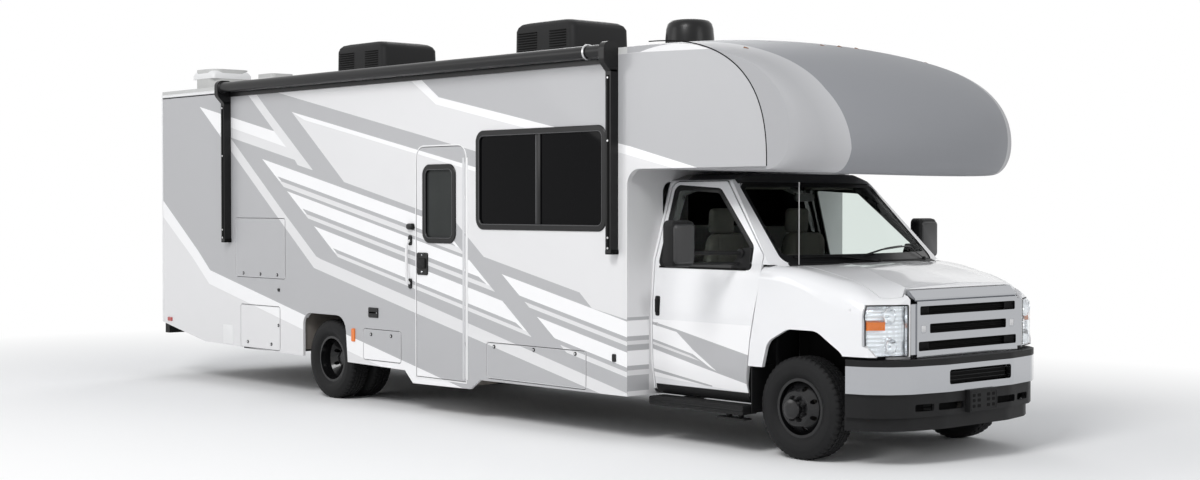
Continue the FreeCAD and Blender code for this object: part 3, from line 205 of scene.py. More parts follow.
def mirrored(shape):
    points, faces, material = shape
    return points * (1, -1, 1), [face[::-1] for face in faces], material


def onSide(shape, side):
    # shapes are drawn on the left, where y is positive
    return shape if side == leftSide else mirrored(shape)


def moved(shape, offset):
    return shape[0] + np.asarray(offset, float), shape[1], shape[2]


def makePiece(name, body, materials, shapes, replaced=(), sharp=35, closed=True, thickness=0.0):
    # joins the shapes into one mesh, turns its faces outwards and hangs it on its body
    points, faces, numbers, start = [], [], [], 0
    for shapePoints, shapeFaces, material in shapes:
        points.append(np.asarray(shapePoints, float))
        faces.extend([[start + corner for corner in face] for face in shapeFaces])
        numbers.extend(material if hasattr(material, "__len__") else [material] * len(shapeFaces))
        start += len(shapePoints)
    points = np.vstack(points) + (frontAxle, 0, 0)
    mesh = bpy.data.meshes.new(name)
    mesh.from_pydata(points.tolist(), [], faces)
    mesh.polygons.foreach_set("material_index", np.array(numbers, np.int32))
    for material in materials:
        mesh.materials.append(material)
    work = bmesh.new()
    work.from_mesh(mesh)
    bmesh.ops.dissolve_degenerate(work, dist=1e-6, edges=work.edges)
    if closed:
        bmesh.ops.remove_doubles(work, verts=work.verts, dist=1e-6)
        bmesh.ops.recalc_face_normals(work, faces=work.faces)
    if thickness:
        bmesh.ops.solidify(work, geom=work.faces[:], thickness=thickness)
        bmesh.ops.recalc_face_normals(work, faces=work.faces)
    work.to_mesh(mesh)
    work.free()
    mesh.shade_smooth()
    mesh.set_sharp_from_angle(angle=math.radians(sharp))
    thing = bpy.data.objects.new(name, mesh)
    bpy.context.scene.collection.objects.link(thing)
    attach(thing, body)
    if replaced:
        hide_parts(*replaced)
    return thing


# Finishes: Principled shaders whose colour, roughness and relief vary a little on Object coordinates.

def finish(name, colour, roughness, metallic=0.0, coat=0.0, shift=0.05, scale=3.0, relief=0.0,
           reliefScale=200.0,
           spread=0.06, stretch=(1, 1, 1), transmission=0.0, specular=0.5, ior=1.45, voronoi=False):
    material = bpy.data.materials.new(name)
    material.use_nodes = True
    tree = material.node_tree
    shader = tree.nodes["Principled BSDF"]
    shader.inputs["Metallic"].default_value = metallic
    shader.inputs["Coat Weight"].default_value = coat
    shader.inputs["Coat Roughness"].default_value = 0.05
    shader.inputs["Transmission Weight"].default_value = transmission
    shader.inputs["Specular IOR Level"].default_value = specular
    shader.inputs["IOR"].default_value = ior
    place = tree.nodes.new("ShaderNodeTexCoord")
    mapping = tree.nodes.new("ShaderNodeMapping")
    mapping.inputs["Scale"].default_value = stretch
    tree.links.new(place.outputs["Object"], mapping.inputs["Vector"])
    cloud = tree.nodes.new("ShaderNodeTexNoise")
    cloud.inputs["Scale"].default_value = scale
    cloud.inputs["Detail"].default_value = 6
    tree.links.new(mapping.outputs["Vector"], cloud.inputs["Vector"])
    blend = tree.nodes.new("ShaderNodeMix")
    blend.data_type = "RGBA"
    blend.inputs["A"].default_value = (*[min(1, c * (1 - shift)) for c in colour], 1)
    blend.inputs["B"].default_value = (*[min(1, c * (1 + shift)) for c in colour], 1)
    tree.links.new(cloud.outputs["Fac"], blend.inputs["Factor"])
    tree.links.new(blend.outputs["Result"], shader.inputs["Base Color"])
    rough = tree.nodes.new("ShaderNodeMapRange")
    rough.inputs["To Min"].default_value = max(0.0, roughness - spread)
    rough.inputs["To Max"].default_value = min(1.0, roughness + spread)
    tree.links.new(cloud.outputs["Fac"], rough.inputs["Value"])
    tree.links.new(rough.outputs["Result"], shader.inputs["Roughness"])
    if relief:
        grain = tree.nodes.new("ShaderNodeTexVoronoi" if voronoi else "ShaderNodeTexNoise")
        grain.inputs["Scale"].default_value = reliefScale
        tree.links.new(mapping.outputs["Vector"], grain.inputs["Vector"])
        bump = tree.nodes.new("ShaderNodeBump")
        bump.inputs["Strength"].default_value = 0.6
        bump.inputs["Distance"].default_value = relief
        tree.links.new(grain.outputs["Distance" if voronoi else "Fac"], bump.inputs["Height"])
        tree.links.new(bump.outputs["Normal"], shader.inputs["Normal"])
    return material


paleGelcoat = finish(
    "paleGelcoat", (0.74, 0.735, 0.74), 0.3, coat=0.3, shift=0.02, scale=0.8, relief=0.0003, reliefScale=14
)
greyFilm = finish(
    "greyFilm", (0.44, 0.44, 0.45), 0.34, coat=0.2, shift=0.025, scale=0.8, relief=0.0002, reliefScale=16
)
paleFilm = finish(
    "paleFilm", (0.74, 0.735, 0.74), 0.3, coat=0.3, shift=0.02, scale=0.8, relief=0.0002, reliefScale=16
)
whiteFilm = finish(
    "whiteFilm", (0.90, 0.895, 0.90), 0.3, coat=0.3, shift=0.01, scale=0.8, relief=0.0002, reliefScale=16
)
cabPaint = finish(
    "cabPaint", (0.83, 0.83, 0.84), 0.22, coat=0.8, shift=0.015, scale=1.0, relief=0.0001, reliefScale=300
)
roofSkin = finish(
    "roofSkin", (0.58, 0.58, 0.57), 0.7, specular=0.06, shift=0.06, scale=2.0, relief=0.0006, reliefScale=80
)
railWhite = finish(
    "railWhite", (0.82, 0.82, 0.82), 0.35, shift=0.03, scale=5.0, relief=0.0001, reliefScale=150
)
railGrey = finish("railGrey", (0.62, 0.62, 0.63), 0.35, shift=0.03, scale=5.0, relief=0.0001, reliefScale=150)
blackCoat = finish(
    "blackCoat", (0.006, 0.006, 0.0065), 0.34, coat=0.05, shift=0.2, scale=5.0, relief=0.0002,
    reliefScale=400, specular=0.3
)
grainBlack = finish(
    "grainBlack", (0.009, 0.009, 0.0095), 0.55, shift=0.25, scale=6.0, relief=0.0004, reliefScale=500,
    voronoi=True, specular=0.25
)
softBlack = finish(
    "softBlack", (0.005, 0.005, 0.005), 0.75, shift=0.2, scale=9.0, relief=0.0003, reliefScale=120,
    specular=0.12
)
chromeSkin = finish("chromeSkin", (0.43, 0.44, 0.46), 0.10, metallic=1.0, shift=0.02, scale=4.0, spread=0.03)
satinAlloy = finish(
    "satinAlloy", (0.62, 0.62, 0.63), 0.32, metallic=1.0, shift=0.05, scale=20.0, stretch=(1, 1, 0.1)
)
darkGlass = finish(
    "darkGlass", (0.003, 0.003, 0.0035), 0.03, shift=0.1, scale=1.5, spread=0.02, specular=0.07
)
smokeGlass = finish(
    "smokeGlass", (0.035, 0.038, 0.037), 0.05, shift=0.3, scale=2.5, spread=0.03, specular=0.1
)
clearGlass = finish(
    "clearGlass", (0.84, 0.88, 0.86), 0.0, shift=0.01, scale=2.0, spread=0.0, transmission=1.0, ior=1.03
)
lensClear = finish(
    "lensClear", (0.93, 0.95, 0.96), 0.02, shift=0.01, scale=4.0, spread=0.01, transmission=1.0, ior=1.15
)
amberLens = finish(
    "amberLens", (0.80, 0.19, 0.02), 0.12, coat=0.4, shift=0.12, scale=60.0, relief=0.0006, reliefScale=260
)
smokedAmber = finish(
    "smokedAmber", (0.22, 0.10, 0.05), 0.2, coat=0.3, shift=0.12, scale=60.0, relief=0.0006, reliefScale=260
)
redLens = finish(
    "redLens", (0.42, 0.015, 0.012), 0.12, coat=0.8, shift=0.2, scale=60.0, relief=0.0006, reliefScale=260
)
tyreRubber = finish(
    "tyreRubber", (0.010, 0.010, 0.0105), 0.68, shift=0.3, scale=14.0, relief=0.0004, reliefScale=300,
    specular=0.25
)
wheelPaint = finish(
    "wheelPaint", (0.006, 0.006, 0.0065), 0.22, coat=0.3, shift=0.3, scale=10.0, relief=0.0002,
    reliefScale=200, specular=0.35
)
chassisPaint = finish(
    "chassisPaint", (0.014, 0.014, 0.014), 0.6, shift=0.4, scale=7.0, relief=0.0006, reliefScale=120,
    specular=0.3
)
castIron = finish(
    "castIron", (0.12, 0.11, 0.10), 0.62, metallic=0.7, shift=0.35, scale=9.0, relief=0.0010, reliefScale=90
)
dullSteel = finish(
    "dullSteel", (0.34, 0.32, 0.29), 0.45, metallic=0.9, shift=0.3, scale=6.0, relief=0.0004, reliefScale=70
)
tankShell = finish("tankShell", (0.03, 0.03, 0.032), 0.5, shift=0.3, scale=5.0, relief=0.0005, reliefScale=60)
floorVinyl = finish(
    "floorVinyl", (0.22, 0.20, 0.18), 0.5, shift=0.2, scale=3.0, relief=0.0003, reliefScale=40,
    stretch=(1, 5, 1)
)
dashGrain = finish(
    "dashGrain", (0.018, 0.018, 0.019), 0.7, shift=0.2, scale=5.0, relief=0.0006, reliefScale=350,
    voronoi=True, specular=0.2
)
seatCloth = finish(
    "seatCloth", (0.085, 0.082, 0.074), 0.95, shift=0.15, scale=90.0, relief=0.0012, reliefScale=700,
    specular=0.2
)
beadGrey = finish(
    "beadGrey", (0.075, 0.075, 0.078), 0.4, shift=0.1, scale=6.0, relief=0.0001, reliefScale=200
)
mirrorBack = finish(
    "mirrorBack", (0.022, 0.022, 0.023), 0.32, coat=0.15, shift=0.1, scale=5.0, relief=0.0002, reliefScale=300
)
lampSilver = finish(
    "lampSilver", (0.86, 0.87, 0.89), 0.16, metallic=0.85, shift=0.03, scale=30.0, relief=0.0006,
    reliefScale=60
)
mirrorSilver = finish(
    "mirrorSilver", (0.75, 0.77, 0.80), 0.03, metallic=1.0, shift=0.02, scale=2.0, spread=0.01
)

nodeFinish = {}
for material, words in (
        (chassisPaint, "frame crossmembers front_axle rear_axle rear_bumper"), (
            castIron, "engine knuckle_left knuckle_right"
        ),
        (dullSteel, "driveline exhaust"), (tankShell, "tanks locker_boxes"), (floorVinyl, "coach_floor"),
        (paleGelcoat, "wall_left wall_right skirts wall_rear wall_front entry_door"), (roofSkin, "roof"),
        (darkGlass, "coach_windows"), (smokeGlass, "entry_window"), (
            clearGlass, "windshield cab_glass_left cab_glass_right"
        ),
        (cabPaint, "cab_shell fenders hood"), (chromeSkin, "bumper_front grille"), (
            grainBlack, "apron running_boards roof_units"
        ),
        (dashGrain, "dash steering_wheel"), (satinAlloy, "ladder"), (redLens, "tail_lamps"),
        (blackCoat, "awning"),
        (lensClear, "headlamps"), (seatCloth, "seats"), (grainBlack, "mirror_left mirror_right"),
        (tyreRubber, "tyre_front_left tyre_front_right tyres_rear_left tyres_rear_right"),
        (wheelPaint, "rim_front_left rim_front_right rims_rear_left rims_rear_right")):
    nodeFinish.update(dict.fromkeys(words.split(), material))
for name in nodes:
    if name.startswith("locker_") and name != "locker_boxes":
        nodeFinish[name] = paleGelcoat


def calculator(tree):
    # adds one math node at a time; numbers go on its sockets, outputs are linked to them
    def calc(operation, a, b=0.0):
        node = tree.nodes.new("ShaderNodeMath")
        node.operation = operation
        for socket, value in zip(node.inputs, (a, b)):
            if hasattr(value, "is_linked"):
                tree.links.new(value, socket)
            else:
                socket.default_value = value
        return node.outputs[0]
    return calc


def placeOf(tree):
    place = next(node for node in tree.nodes if node.type == "TEX_COORD")
    split = tree.nodes.new("ShaderNodeSeparateXYZ")
    tree.links.new(place.outputs["Object"], split.inputs["Vector"])
    return split.outputs["X"], split.outputs["Y"], split.outputs["Z"]


def mixTones(tree, factor, a, b):
    # a where the factor is 0 and b where it is 1; each is a colour or another output
    mix = tree.nodes.new("ShaderNodeMix")
    mix.data_type = "RGBA"
    for name, value in (("A", a), ("B", b)):
        if hasattr(value, "is_linked"):
            tree.links.new(value, mix.inputs[name])
        else:
            mix.inputs[name].default_value = (*value, 1)
    tree.links.new(factor, mix.inputs["Factor"])
    return mix.outputs["Result"]


# The cap over the cab: grey, with a pale band on each side, sharp at its front edge and fading out behind;
# the band is a painted highlight where the rounded corner catches the sky.
capHighlight = {
    "lowEdge": 0.912, "spread": 0.073, "lowHeight": 2.20, "rise": 0.42, "width": 0.17,
    "greyFront": (0.28, 0.285, 0.30), "highlightTone": (0.50, 0.50, 0.51), "greyBack": (0.41, 0.41, 0.42)}


def capWithPaintedHighlight():
    material = finish(
        "capLaminatePaintedHighlight", capHighlight["greyFront"], 0.5, specular=0.10, shift=0.02, scale=0.8, relief=0.0004,
        reliefScale=10)
    tree = material.node_tree
    calc = calculator(tree)
    x, y, z = placeOf(tree)
    # the edge's distance from the middle grows with height between two levels
    share = calc("DIVIDE", calc("SUBTRACT", z, capHighlight["lowHeight"]), capHighlight["rise"])
    share = calc("MINIMUM", calc("MAXIMUM", share, 0.0), 1.0)
    edge = calc("ADD", calc("MULTIPLY", share, capHighlight["spread"]), capHighlight["lowEdge"])
    behind = calc("SUBTRACT", calc("ABSOLUTE", y), edge)
    fade = calc("MINIMUM", calc("MAXIMUM", calc("DIVIDE", behind, capHighlight["width"]), 0.0), 1.0)
    # painted highlight: lighter just behind the edge, fading into the side's grey
    band = mixTones(tree, fade, capHighlight["highlightTone"], capHighlight["greyBack"])
    whole = mixTones(tree, calc("GREATER_THAN", behind, 0.0), capHighlight["greyFront"], band)
    tree.links.new(whole, tree.nodes["Principled BSDF"].inputs["Base Color"])
    return material


# The windshield's plane: its foot's place and height, and how far it leans back for each metre up.
screenPlane = {"foot": -0.075, "level": 1.383, "lean": 1.0085}

# Cab metal is painted outside and lined with dark trim inside; the cab's roof over the windshield is painted
# dark too, partly as the screen's black border running on and partly as painted shade for the shadow under
# the cap.
liningAndHeaderShade = {
    "tone": (0.022, 0.022, 0.023), "belt": 1.385, "width": 0.966, "lean": 0.3115, "roof": 2.028, "bow": 0.21,
    "behindScreen": 0.03124, "headerBorderAndShade": 1.972, "headerBorderAndShadeHalf": 0.770}


def linedPaint(name, screenAndHeaderShade):
    material = finish(
        name, (0.83, 0.83, 0.84), 0.22, coat=0.6, shift=0.015, scale=1.0, relief=0.0001, reliefScale=300
    )
    tree = material.node_tree
    calc = calculator(tree)
    x, y, z = placeOf(tree)
    across = calc("ABSOLUTE", y)
    above = calc("MAXIMUM", calc("SUBTRACT", z, liningAndHeaderShade["belt"]), 0.0)
    limit = calc("SUBTRACT", liningAndHeaderShade["width"], calc("MULTIPLY", above, liningAndHeaderShade["lean"]))
    inside = calc("MULTIPLY", calc("LESS_THAN", across, limit), calc("LESS_THAN", z, liningAndHeaderShade["roof"]))
    if screenAndHeaderShade:
        # behind the screen, and over the header above it, where the dark stands partly for the screen's black
        # border and partly for painted shade under the cap
        bow = calc("MULTIPLY", calc("MULTIPLY", y, y), liningAndHeaderShade["bow"])
        rise = calc("MULTIPLY", calc("SUBTRACT", z, screenPlane["level"]), screenPlane["lean"])
        plane = calc("ADD", calc("ADD", rise, bow), x)
        limit = frontAxle + screenPlane["foot"] - liningAndHeaderShade["behindScreen"]
        inside = calc("MULTIPLY", inside, calc("LESS_THAN", plane, limit))
        # painted shade: the header and the cab's roof under the cap are darkened near the middle
        headerBorderAndShade = calc(
            "MULTIPLY", calc("GREATER_THAN", z, liningAndHeaderShade["headerBorderAndShade"]),
            calc("LESS_THAN", across, liningAndHeaderShade["headerBorderAndShadeHalf"])
        )
        inside = calc("MAXIMUM", inside, headerBorderAndShade)
    paintTone = tree.nodes["Principled BSDF"].inputs["Base Color"].links[0].from_socket
    tree.links.new(
        mixTones(tree, inside, paintTone, liningAndHeaderShade["tone"]), tree.nodes["Principled BSDF"].inputs["Base Color"]
    )
    return material


nodeFinish["cab_shell"] = linedPaint("cabShellPaint", True)
nodeFinish["cab_door_left"] = nodeFinish["cab_door_right"] = linedPaint("cabDoorPaint", False)
nodeFinish["cab_over"] = capWithPaintedHighlight()
for name, material in nodeFinish.items():
    mesh = nodes[name].data
    mesh.materials.clear()
    mesh.materials.append(material)
print("finishes on", len(nodeFinish), "nodes")


# Graphic film on the flat sides: three tones, cut along straight lines.
film = {"lift": 0.0008, "thickness": 0.0004, "gap": 0.006, "slope": 0.209}
tones = {"grey": 0, "pale": 1, "white": 2}
filmMaterials = [greyFilm, paleFilm, whiteFilm]


def crossing(first, second):
    # where two lines (x, z, slope) meet
    x = (second[1] - first[1] + first[2] * first[0] - second[2] * second[0]) / (first[2] - second[2])
    return x, first[1] + first[2] * (x - first[0])


def lowered(line, drop):
    return line[0], line[1] - drop, line[2]


def feather(tip, white, slit, thin, back, ahead, openBack=False):
    # a white stripe with a grey slit and a thin pale stripe below it, between two slanting cuts
    slope = film["slope"]
    top = (*tip, -slope)
    levels = [lowered(top, drop) for drop in (0, white, white + slit, white + slit + thin)]
    whole = [
        crossing(levels[0], back), crossing(levels[0], ahead), crossing(levels[3], ahead),
        crossing(levels[3], back)
    ]
    strip = [
        crossing(levels[2], back), crossing(levels[2], ahead), crossing(levels[3], ahead),
        crossing(levels[3], back)
    ]
    start, end = crossing(levels[1], back), crossing(levels[1], ahead)
    startLow, endLow = crossing(levels[2], back), crossing(levels[2], ahead)
    inset, outset = (0.0, 0.0) if openBack else (0.05, 0.08)
    cutOut = [
        (start[0] + inset, start[1] - inset * slope), (end[0] - outset, end[1] + outset * slope),
        (endLow[0] - outset * 0.6, endLow[1] + outset * 0.13), (
            startLow[0] + inset, startLow[1] - inset * slope
        )]
    return [("white", whole), ("pale", strip), ("grey", cutOut)]


def sideStripes():
    edge = [(-8.80, 1.895), (-8.0, 1.33), (-7.76, 1.14), (-6.0, 0.765), (-3.3, 0.209)]
    field = [
        (-6.45, 2.895), (-6.6, 3.2), (-4.4, 3.2), (-4.09, 2.885), (-3.86, 2.735), (-2.33, 2.43),
        (-1.45, 2.255), (-0.70, 2.075),
        (-0.70, 1.9), (-1.3, 1.9), (-1.3, 0.90), (-1.482, 0.938), (-1.885, 1.008), (-2.03, 1.125),
        (-3.24, 1.378), (-3.61, 1.655),
        (-5.31, 2.02), (-6.2, 2.70)]
    stripes = [
        ("pale", [*edge, (-3.3, 0.1), (-8.8, 0.1)]),
        ("white", [*edge, (-3.9, 0.19), (-6.0, 0.62), (-7.78, 1.0), (-8.13, 1.27), (-8.80, 1.72)]),
        ("pale", field),
        ("grey", [(-6.75, 2.955), (-6.45, 2.895), (-3.2, 2.229), (-3.2, 2.095), (-6.2, 2.70), (-6.6, 2.8)]),
        ("white", [(-6.2, 2.70), (-3.2, 2.095), (-3.2, 2.06), (-5.98, 2.615)]),
        ("white", [
            (-4.30, 3.05), (-4.09, 2.885), (-3.86, 2.735), (-2.33, 2.43), (-1.45, 2.255), (-0.70, 2.075),
            (-0.88, 2.06), (-1.50, 2.195), (-2.40, 2.375), (-3.90, 2.675), (-4.22, 2.87), (-4.5, 3.05)]),
        ("pale", [
            (-7.20, 3.05), (-7.04, 3.05), (-6.6, 2.71), (-5.83, 2.135), (-6.10, 2.19), (-6.15, 2.24),
            (-7.33, 2.485),
            (-7.57, 2.53), (-7.40, 2.60), (-6.52, 2.53)]),
        ("pale", [
            (-7.96, 2.82), (-7.70, 2.72), (-7.33, 2.475), (-6.36, 1.745), (-5.78, 1.325), (-5.70, 1.30),
            (-4.30, 1.0),
            (-1.40, 0.358), (-1.40, 0.268), (-4.30, 0.885), (-5.82, 1.215), (-6.46, 1.69)]),
        ("white", [(-7.96, 2.82), (-6.52, 2.525), (-6.30, 2.365), (-7.40, 2.60), (-7.57, 2.53)])]
    back, ahead = (-6.74, 2.26, -0.705), (-3.42, 1.335, -0.738)
    stripes += feather((-6.74, 2.26), 0.115, 0.035, 0.045, back, ahead)
    stripes += feather((-6.28, 1.94), 0.110, 0.038, 0.035, back, ahead)
    stripes += feather((-5.82, 1.61), 0.135, 0.032, 0.032, back, ahead)
    back, ahead = (-3.0, 1.24, -0.733), (-1.40, 0.9, 50.0)
    stripes += feather((-3.0, 1.24), 0.120, 0.034, 0.032, back, ahead, True)
    stripes += feather((-2.55, 0.91), 0.115, 0.035, 0.040, back, ahead, True)
    return stripes


def paint(name, stripes, panels, holes, surface, levels=()):
    # panels are (name, body, base tone, outline); each triangle takes the last stripe that holds it
    outlines = [outline for _, _, _, outline in panels] + list(holes) + [
        np.array(points) for _, points in stripes
    ]
    outlines = [outline if area(outline) > 0 else outline[::-1] for outline in outlines]
    points, faces, edges = [], [], []
    for outline in outlines:
        faces.append(list(range(len(points), len(points) + len(outline))))
        points.extend(Vector(point) for point in outline)
    for a, b in levels:
        edges.append((len(points), len(points) + 1))
        points.extend([Vector(a), Vector(b)])
    corners, _, triangles, _, _, owners = delaunay_2d_cdt(points, edges, faces, 0, 1e-5)
    corners = np.array([tuple(corner) for corner in corners])
    holeRange = range(len(panels), len(panels) + len(holes))
    chosen = {}
    for triangle, owner in zip(triangles, owners):
        inside = [number for number in owner if number < len(panels)]
        if not inside or any(number in holeRange for number in owner):
            continue
        drawn = [number for number in owner if number >= holeRange.stop]
        panel = panels[max(inside)]
        tone = stripes[max(drawn) - holeRange.stop][0] if drawn else panel[2]
        chosen.setdefault(panel[:2], []).append((list(triangle), tones[tone]))
    for (piece, body), found in chosen.items():
        used = sorted({corner for triangle, _ in found for corner in triangle})
        renumber = {corner: index for index, corner in enumerate(used)}
        shape = (
            surface(corners[used]), [[renumber[c] for c in triangle] for triangle, _ in found],
            [tone for _, tone in found]
        )
        makePiece(
            "film_%s_%s" % (name, piece), body, filmMaterials, [shape], closed=False,
            thickness=film["thickness"]
        )


lowEdge = [
    (rearWall, 0.735), (rearWall, 0.562), (-7.874, 0.404), (-6.069, 0.375), (-4.362, 0.352), (-4.242, 0.246),
    (-3.428, 0.257),
    (-3.292, 0.343), (frontWall, 0.352)]
leftLowEdge = [point for point in lowEdge if point[1] > 0.34]
lockers = {  # rear, front, low, high, side
    "upper_rear": (-7.245, -6.328, 1.096, 1.676, -1), "lower_rear": (-7.154, -6.424, 0.396, 0.818, -1),
    "mid": (-5.002, -4.421, 0.409, 0.684, -1), "front": (-3.197, -1.955, 0.370, 0.664, -1),
    "left_rear": (-7.650, -6.750, 0.440, 0.700, 1), "left_mid": (-4.650, -3.760, 0.400, 0.684, 1)}
entry = {"rear": -4.183, "front": -3.489, "low": 0.316, "high": 2.308, "corner": 0.100}
glass = {  # rear, front, low, high, side
    "lounge": (-3.317, -1.735, 1.624, 2.409, -1), "dinette": (-3.317, -1.735, 1.624, 2.409, 1),
    "galley": (-5.150, -4.350, 1.750, 2.330, 1), "bedroom": (-8.250, -7.350, 1.624, 2.330, 1)}
wallTop = 2.958
bunk = {"start": -1.343, "foot": 2.083, "reach": 1.285, "rise": 0.945, "power": 2.6, "fillet": 0.122}


def bunkCurve(count=24, grown=0.0):
    # the flat side's front edge: a superellipse from its foot up to the roof
    angles = np.radians(np.linspace(0, 88, count))
    x = bunk["start"] + (bunk["reach"] + grown) * np.cos(angles) ** (2 / bunk["power"])
    z = bunk["foot"] + (bunk["rise"] + grown) * np.sin(angles) ** (2 / bunk["power"])
    return np.stack([x, z], -1)


def entryOutline(gap=0.0):
    low, high, corner = entry["low"] - gap, entry["high"] + gap, entry["corner"] + gap
    rear, front = entry["rear"] - gap, entry["front"] + gap
    return [(rear, low), (front, low), (front, high, corner), (rear, high, corner)]


def paintSide(side):
    low = lowEdge if side == rightSide else leftLowEdge
    outline = [*low, (frontWall, bunk["foot"], bunk["fillet"])]
    curve = [point for point in bunkCurve() if point[1] < wallTop - 0.013]
    wall = np.vstack(
        [roundOutline([*outline, (-1.2, bunk["foot"])]), curve, [(-1.3, wallTop), (rearWall, wallTop)]]
    )
    panels = [("wall", "chassis", "grey", wall)]
    arch = roundOutline([(-6.005, 0), (-6.012, 0.787, 0.120), (-5.300, 0.787, 0.150), (-5.222, 0)])
    holes = [arch]
    for name, (rear, front, lowZ, highZ, where) in glass.items():
        if where == side:
            holes.append(roundOutline(rectangle(rear, front, lowZ, highZ, 0.06)))
    for name, (rear, front, lowZ, highZ, where) in lockers.items():
        if where == side:
            gap = film["gap"]
            holes.append(roundOutline(rectangle(rear - gap, front + gap, lowZ - gap, highZ + gap, 0.03)))
    if side == rightSide:
        holes.append(roundOutline(entryOutline(film["gap"])))
    surface = lambda points: onPlane("side", points[:, 0], points[:, 1], side * (halfWidth + film["lift"]))
    stripes = sideStripes()
    paint("right" if side == rightSide else "left", stripes, panels, holes, surface)
    for name, (rear, front, lowZ, highZ, where) in lockers.items():
        if where == side:
            door = (
                "locker_" + name, "locker_" + name, "grey",
                roundOutline(rectangle(rear, front, lowZ, highZ, 0.025))
            )
            paint(name, stripes, [door], [], surface)
    if side == rightSide:
        window = roundOutline(rectangle(-4.060, -3.647, 1.510, 2.130, 0.05))
        paint(
            "entry", stripes, [("door", "entry_door", "grey", roundOutline(entryOutline()))], [window],
            surface
        )


paintSide(rightSide)
paintSide(leftSide)

# the same lines run round the corner on the coach's front wall, and over the cab doors
frontBands = [
    ("pale", 0.352, 2.06), ("grey", 0.930, 0.955), ("white", 0.810, 0.930), ("grey", 0.775, 0.810),
    ("pale", 0.745, 0.775),
    ("grey", 0.700, 0.745), ("white", 0.585, 0.700), ("grey", 0.550, 0.585), ("pale", 0.510, 0.550),
    ("grey", 0.390, 0.510)]
for side in (rightSide, leftSide):
    inner, outer = sorted((side * 1.028, side * 1.255))
    stripes = [(tone, rectangle(inner - 0.01, outer + 0.01, low, high)) for tone, low, high in frontBands]
    panel = ("frontWall%d" % (side > 0), "chassis", "pale", np.array(rectangle(inner, outer, 0.353, 2.05)))
    paint(
        "corner", stripes, [panel], [],
        lambda points: onPlane("front", points[:, 0], points[:, 1], frontWall + film["lift"])
    )

cabSection = [
    (0.960, 0.360, 0.040), (1.000, 0.600, 0.200), (1.010, 1.000, 0.400), (0.985, 1.385, 0.060),
    (0.795, 1.995, 0.050),
    (0.600, 2.050)]
cabDoorLine = [
    (-0.475, 0.372, 0.040), (-0.495, 0.500, 0.100), (-0.447, 0.828, 0.300), (-0.371, 1.196, 0.300),
    (-0.346, 1.380, 0.040),
    (-0.346, 1.440, 0.040), (-0.868, 1.988, 0.060), (-1.440, 1.988, 0.070), (-1.450, 1.541, 0.400),
    (-1.460, 1.078, 0.400),
    (-1.462, 0.372, 0.040)]
cabGlassLine = [
    (-0.452, 1.346, 0.030), (-0.468, 1.505, 0.060), (-0.925, 1.926, 0.080), (-1.402, 1.955, 0.045),
    (-1.402, 1.346, 0.040)]


def cabSkin(heights, outwards=0.0):
    # how far the cab's side stands from the middle at each height, from the cross-section's corners and arcs
    line = roundOutline([(0.90, 0.36), *cabSection, (0.5, 2.06)], 12)
    return np.interp(heights, line[:, 1], line[:, 0]) + outwards


doorStripes = [
    ("grey", [
        (-1.50, 0.922), (-1.20, 0.868), (-0.50, 0.725), (-0.30, 0.690), (-0.30, 0.47), (-0.50, 0.505),
        (-1.50, 0.715)
    ]),
    ("white", [
        (-1.50, 0.900), (-1.20, 0.848), (-1.03, 0.725), (-0.785, 0.578), (-0.85, 0.600), (-1.03, 0.690),
        (-1.50, 0.790)
    ]),
    ("pale", [(-1.50, 0.770), (-1.06, 0.678), (-0.95, 0.640), (-1.50, 0.748)]),
    ("white", [(-1.50, 0.700), (-0.30, 0.452), (-0.30, 0.425), (-1.00, 0.478), (-1.50, 0.560)]),
    ("grey", [(-1.50, 0.560), (-0.85, 0.465), (-0.85, 0.452), (-1.50, 0.535)]),
]
levels = [((-1.49, z), (-0.28, z)) for z in np.arange(0.40, 0.94, 0.03)]
for side in (rightSide, leftSide):
    word = "right" if side == rightSide else "left"
    shapeOfDoor = roundOutline(cabDoorLine)
    band = [("band", "cab_door_" + word, "white", shapeOfDoor)]
    above = np.array(rectangle(-1.6, -0.2, 0.935, 2.2))
    bandHole = np.array([(-1.6, 0.3), (-0.2, 0.3), (-0.2, 0.42), (-1.6, 0.50)])
    paint("cab_" + word, doorStripes, band, [above, bandHole],
          lambda points: onPlane(
              "side", points[:, 0], points[:, 1], side * cabSkin(points[:, 1], 0.0013)
          ), levels)
print("film laid")


def stack(rows, plane, material=0, steps=6):
    # rounded rectangles one behind the other: (depth, left, right, low, high, radius) for each
    grid = np.stack([
        onPlane(plane, *roundOutline(rectangle(left, right, low, high, radius), steps).T, depth)
        for depth, left, right, low, high, radius in rows])
    return patch(grid, material, wrapColumns=True, capEnds=True)


def cover(plane, left, right, low, high, levels, material=0, steps=6):
    # a rounded plate; each level is (depth, how far its edges are drawn in, corner radius)
    rows = [(depth, left + i, right - i, low + i, high - i, radius) for depth, i, radius in levels]
    return stack(rows, plane, material, steps)


def box(x, y, z, bevel=0.002, material=0):
    # a small block with its edges rounded, between two values on each axis
    (x0, x1), (y0, y1), (z0, z1) = sorted(x), sorted(y), sorted(z)
    b = min(bevel, (x1 - x0) * 0.4, (y1 - y0) * 0.4, (z1 - z0) * 0.4)
    rows = [(z0, b), (z0 + b * 0.3, b * 0.3), (z0 + b, 0), (z1 - b, 0), (z1 - b * 0.3, b * 0.3), (z1, b)]
    return stack([(z, x0 + i, x1 - i, y0 + i, y1 - i, b * 0.7) for z, i in rows], "plan", material, 3)


def button(centre, radius, axis, height, material=0, sides=20):
    # a low round cap standing height proud of a face, along one axis; its sign is the way it faces
    return knob(
        [(-height, radius), (height * 0.6, radius), (height, radius * 0.8)], centre, axis, sides, material
    )


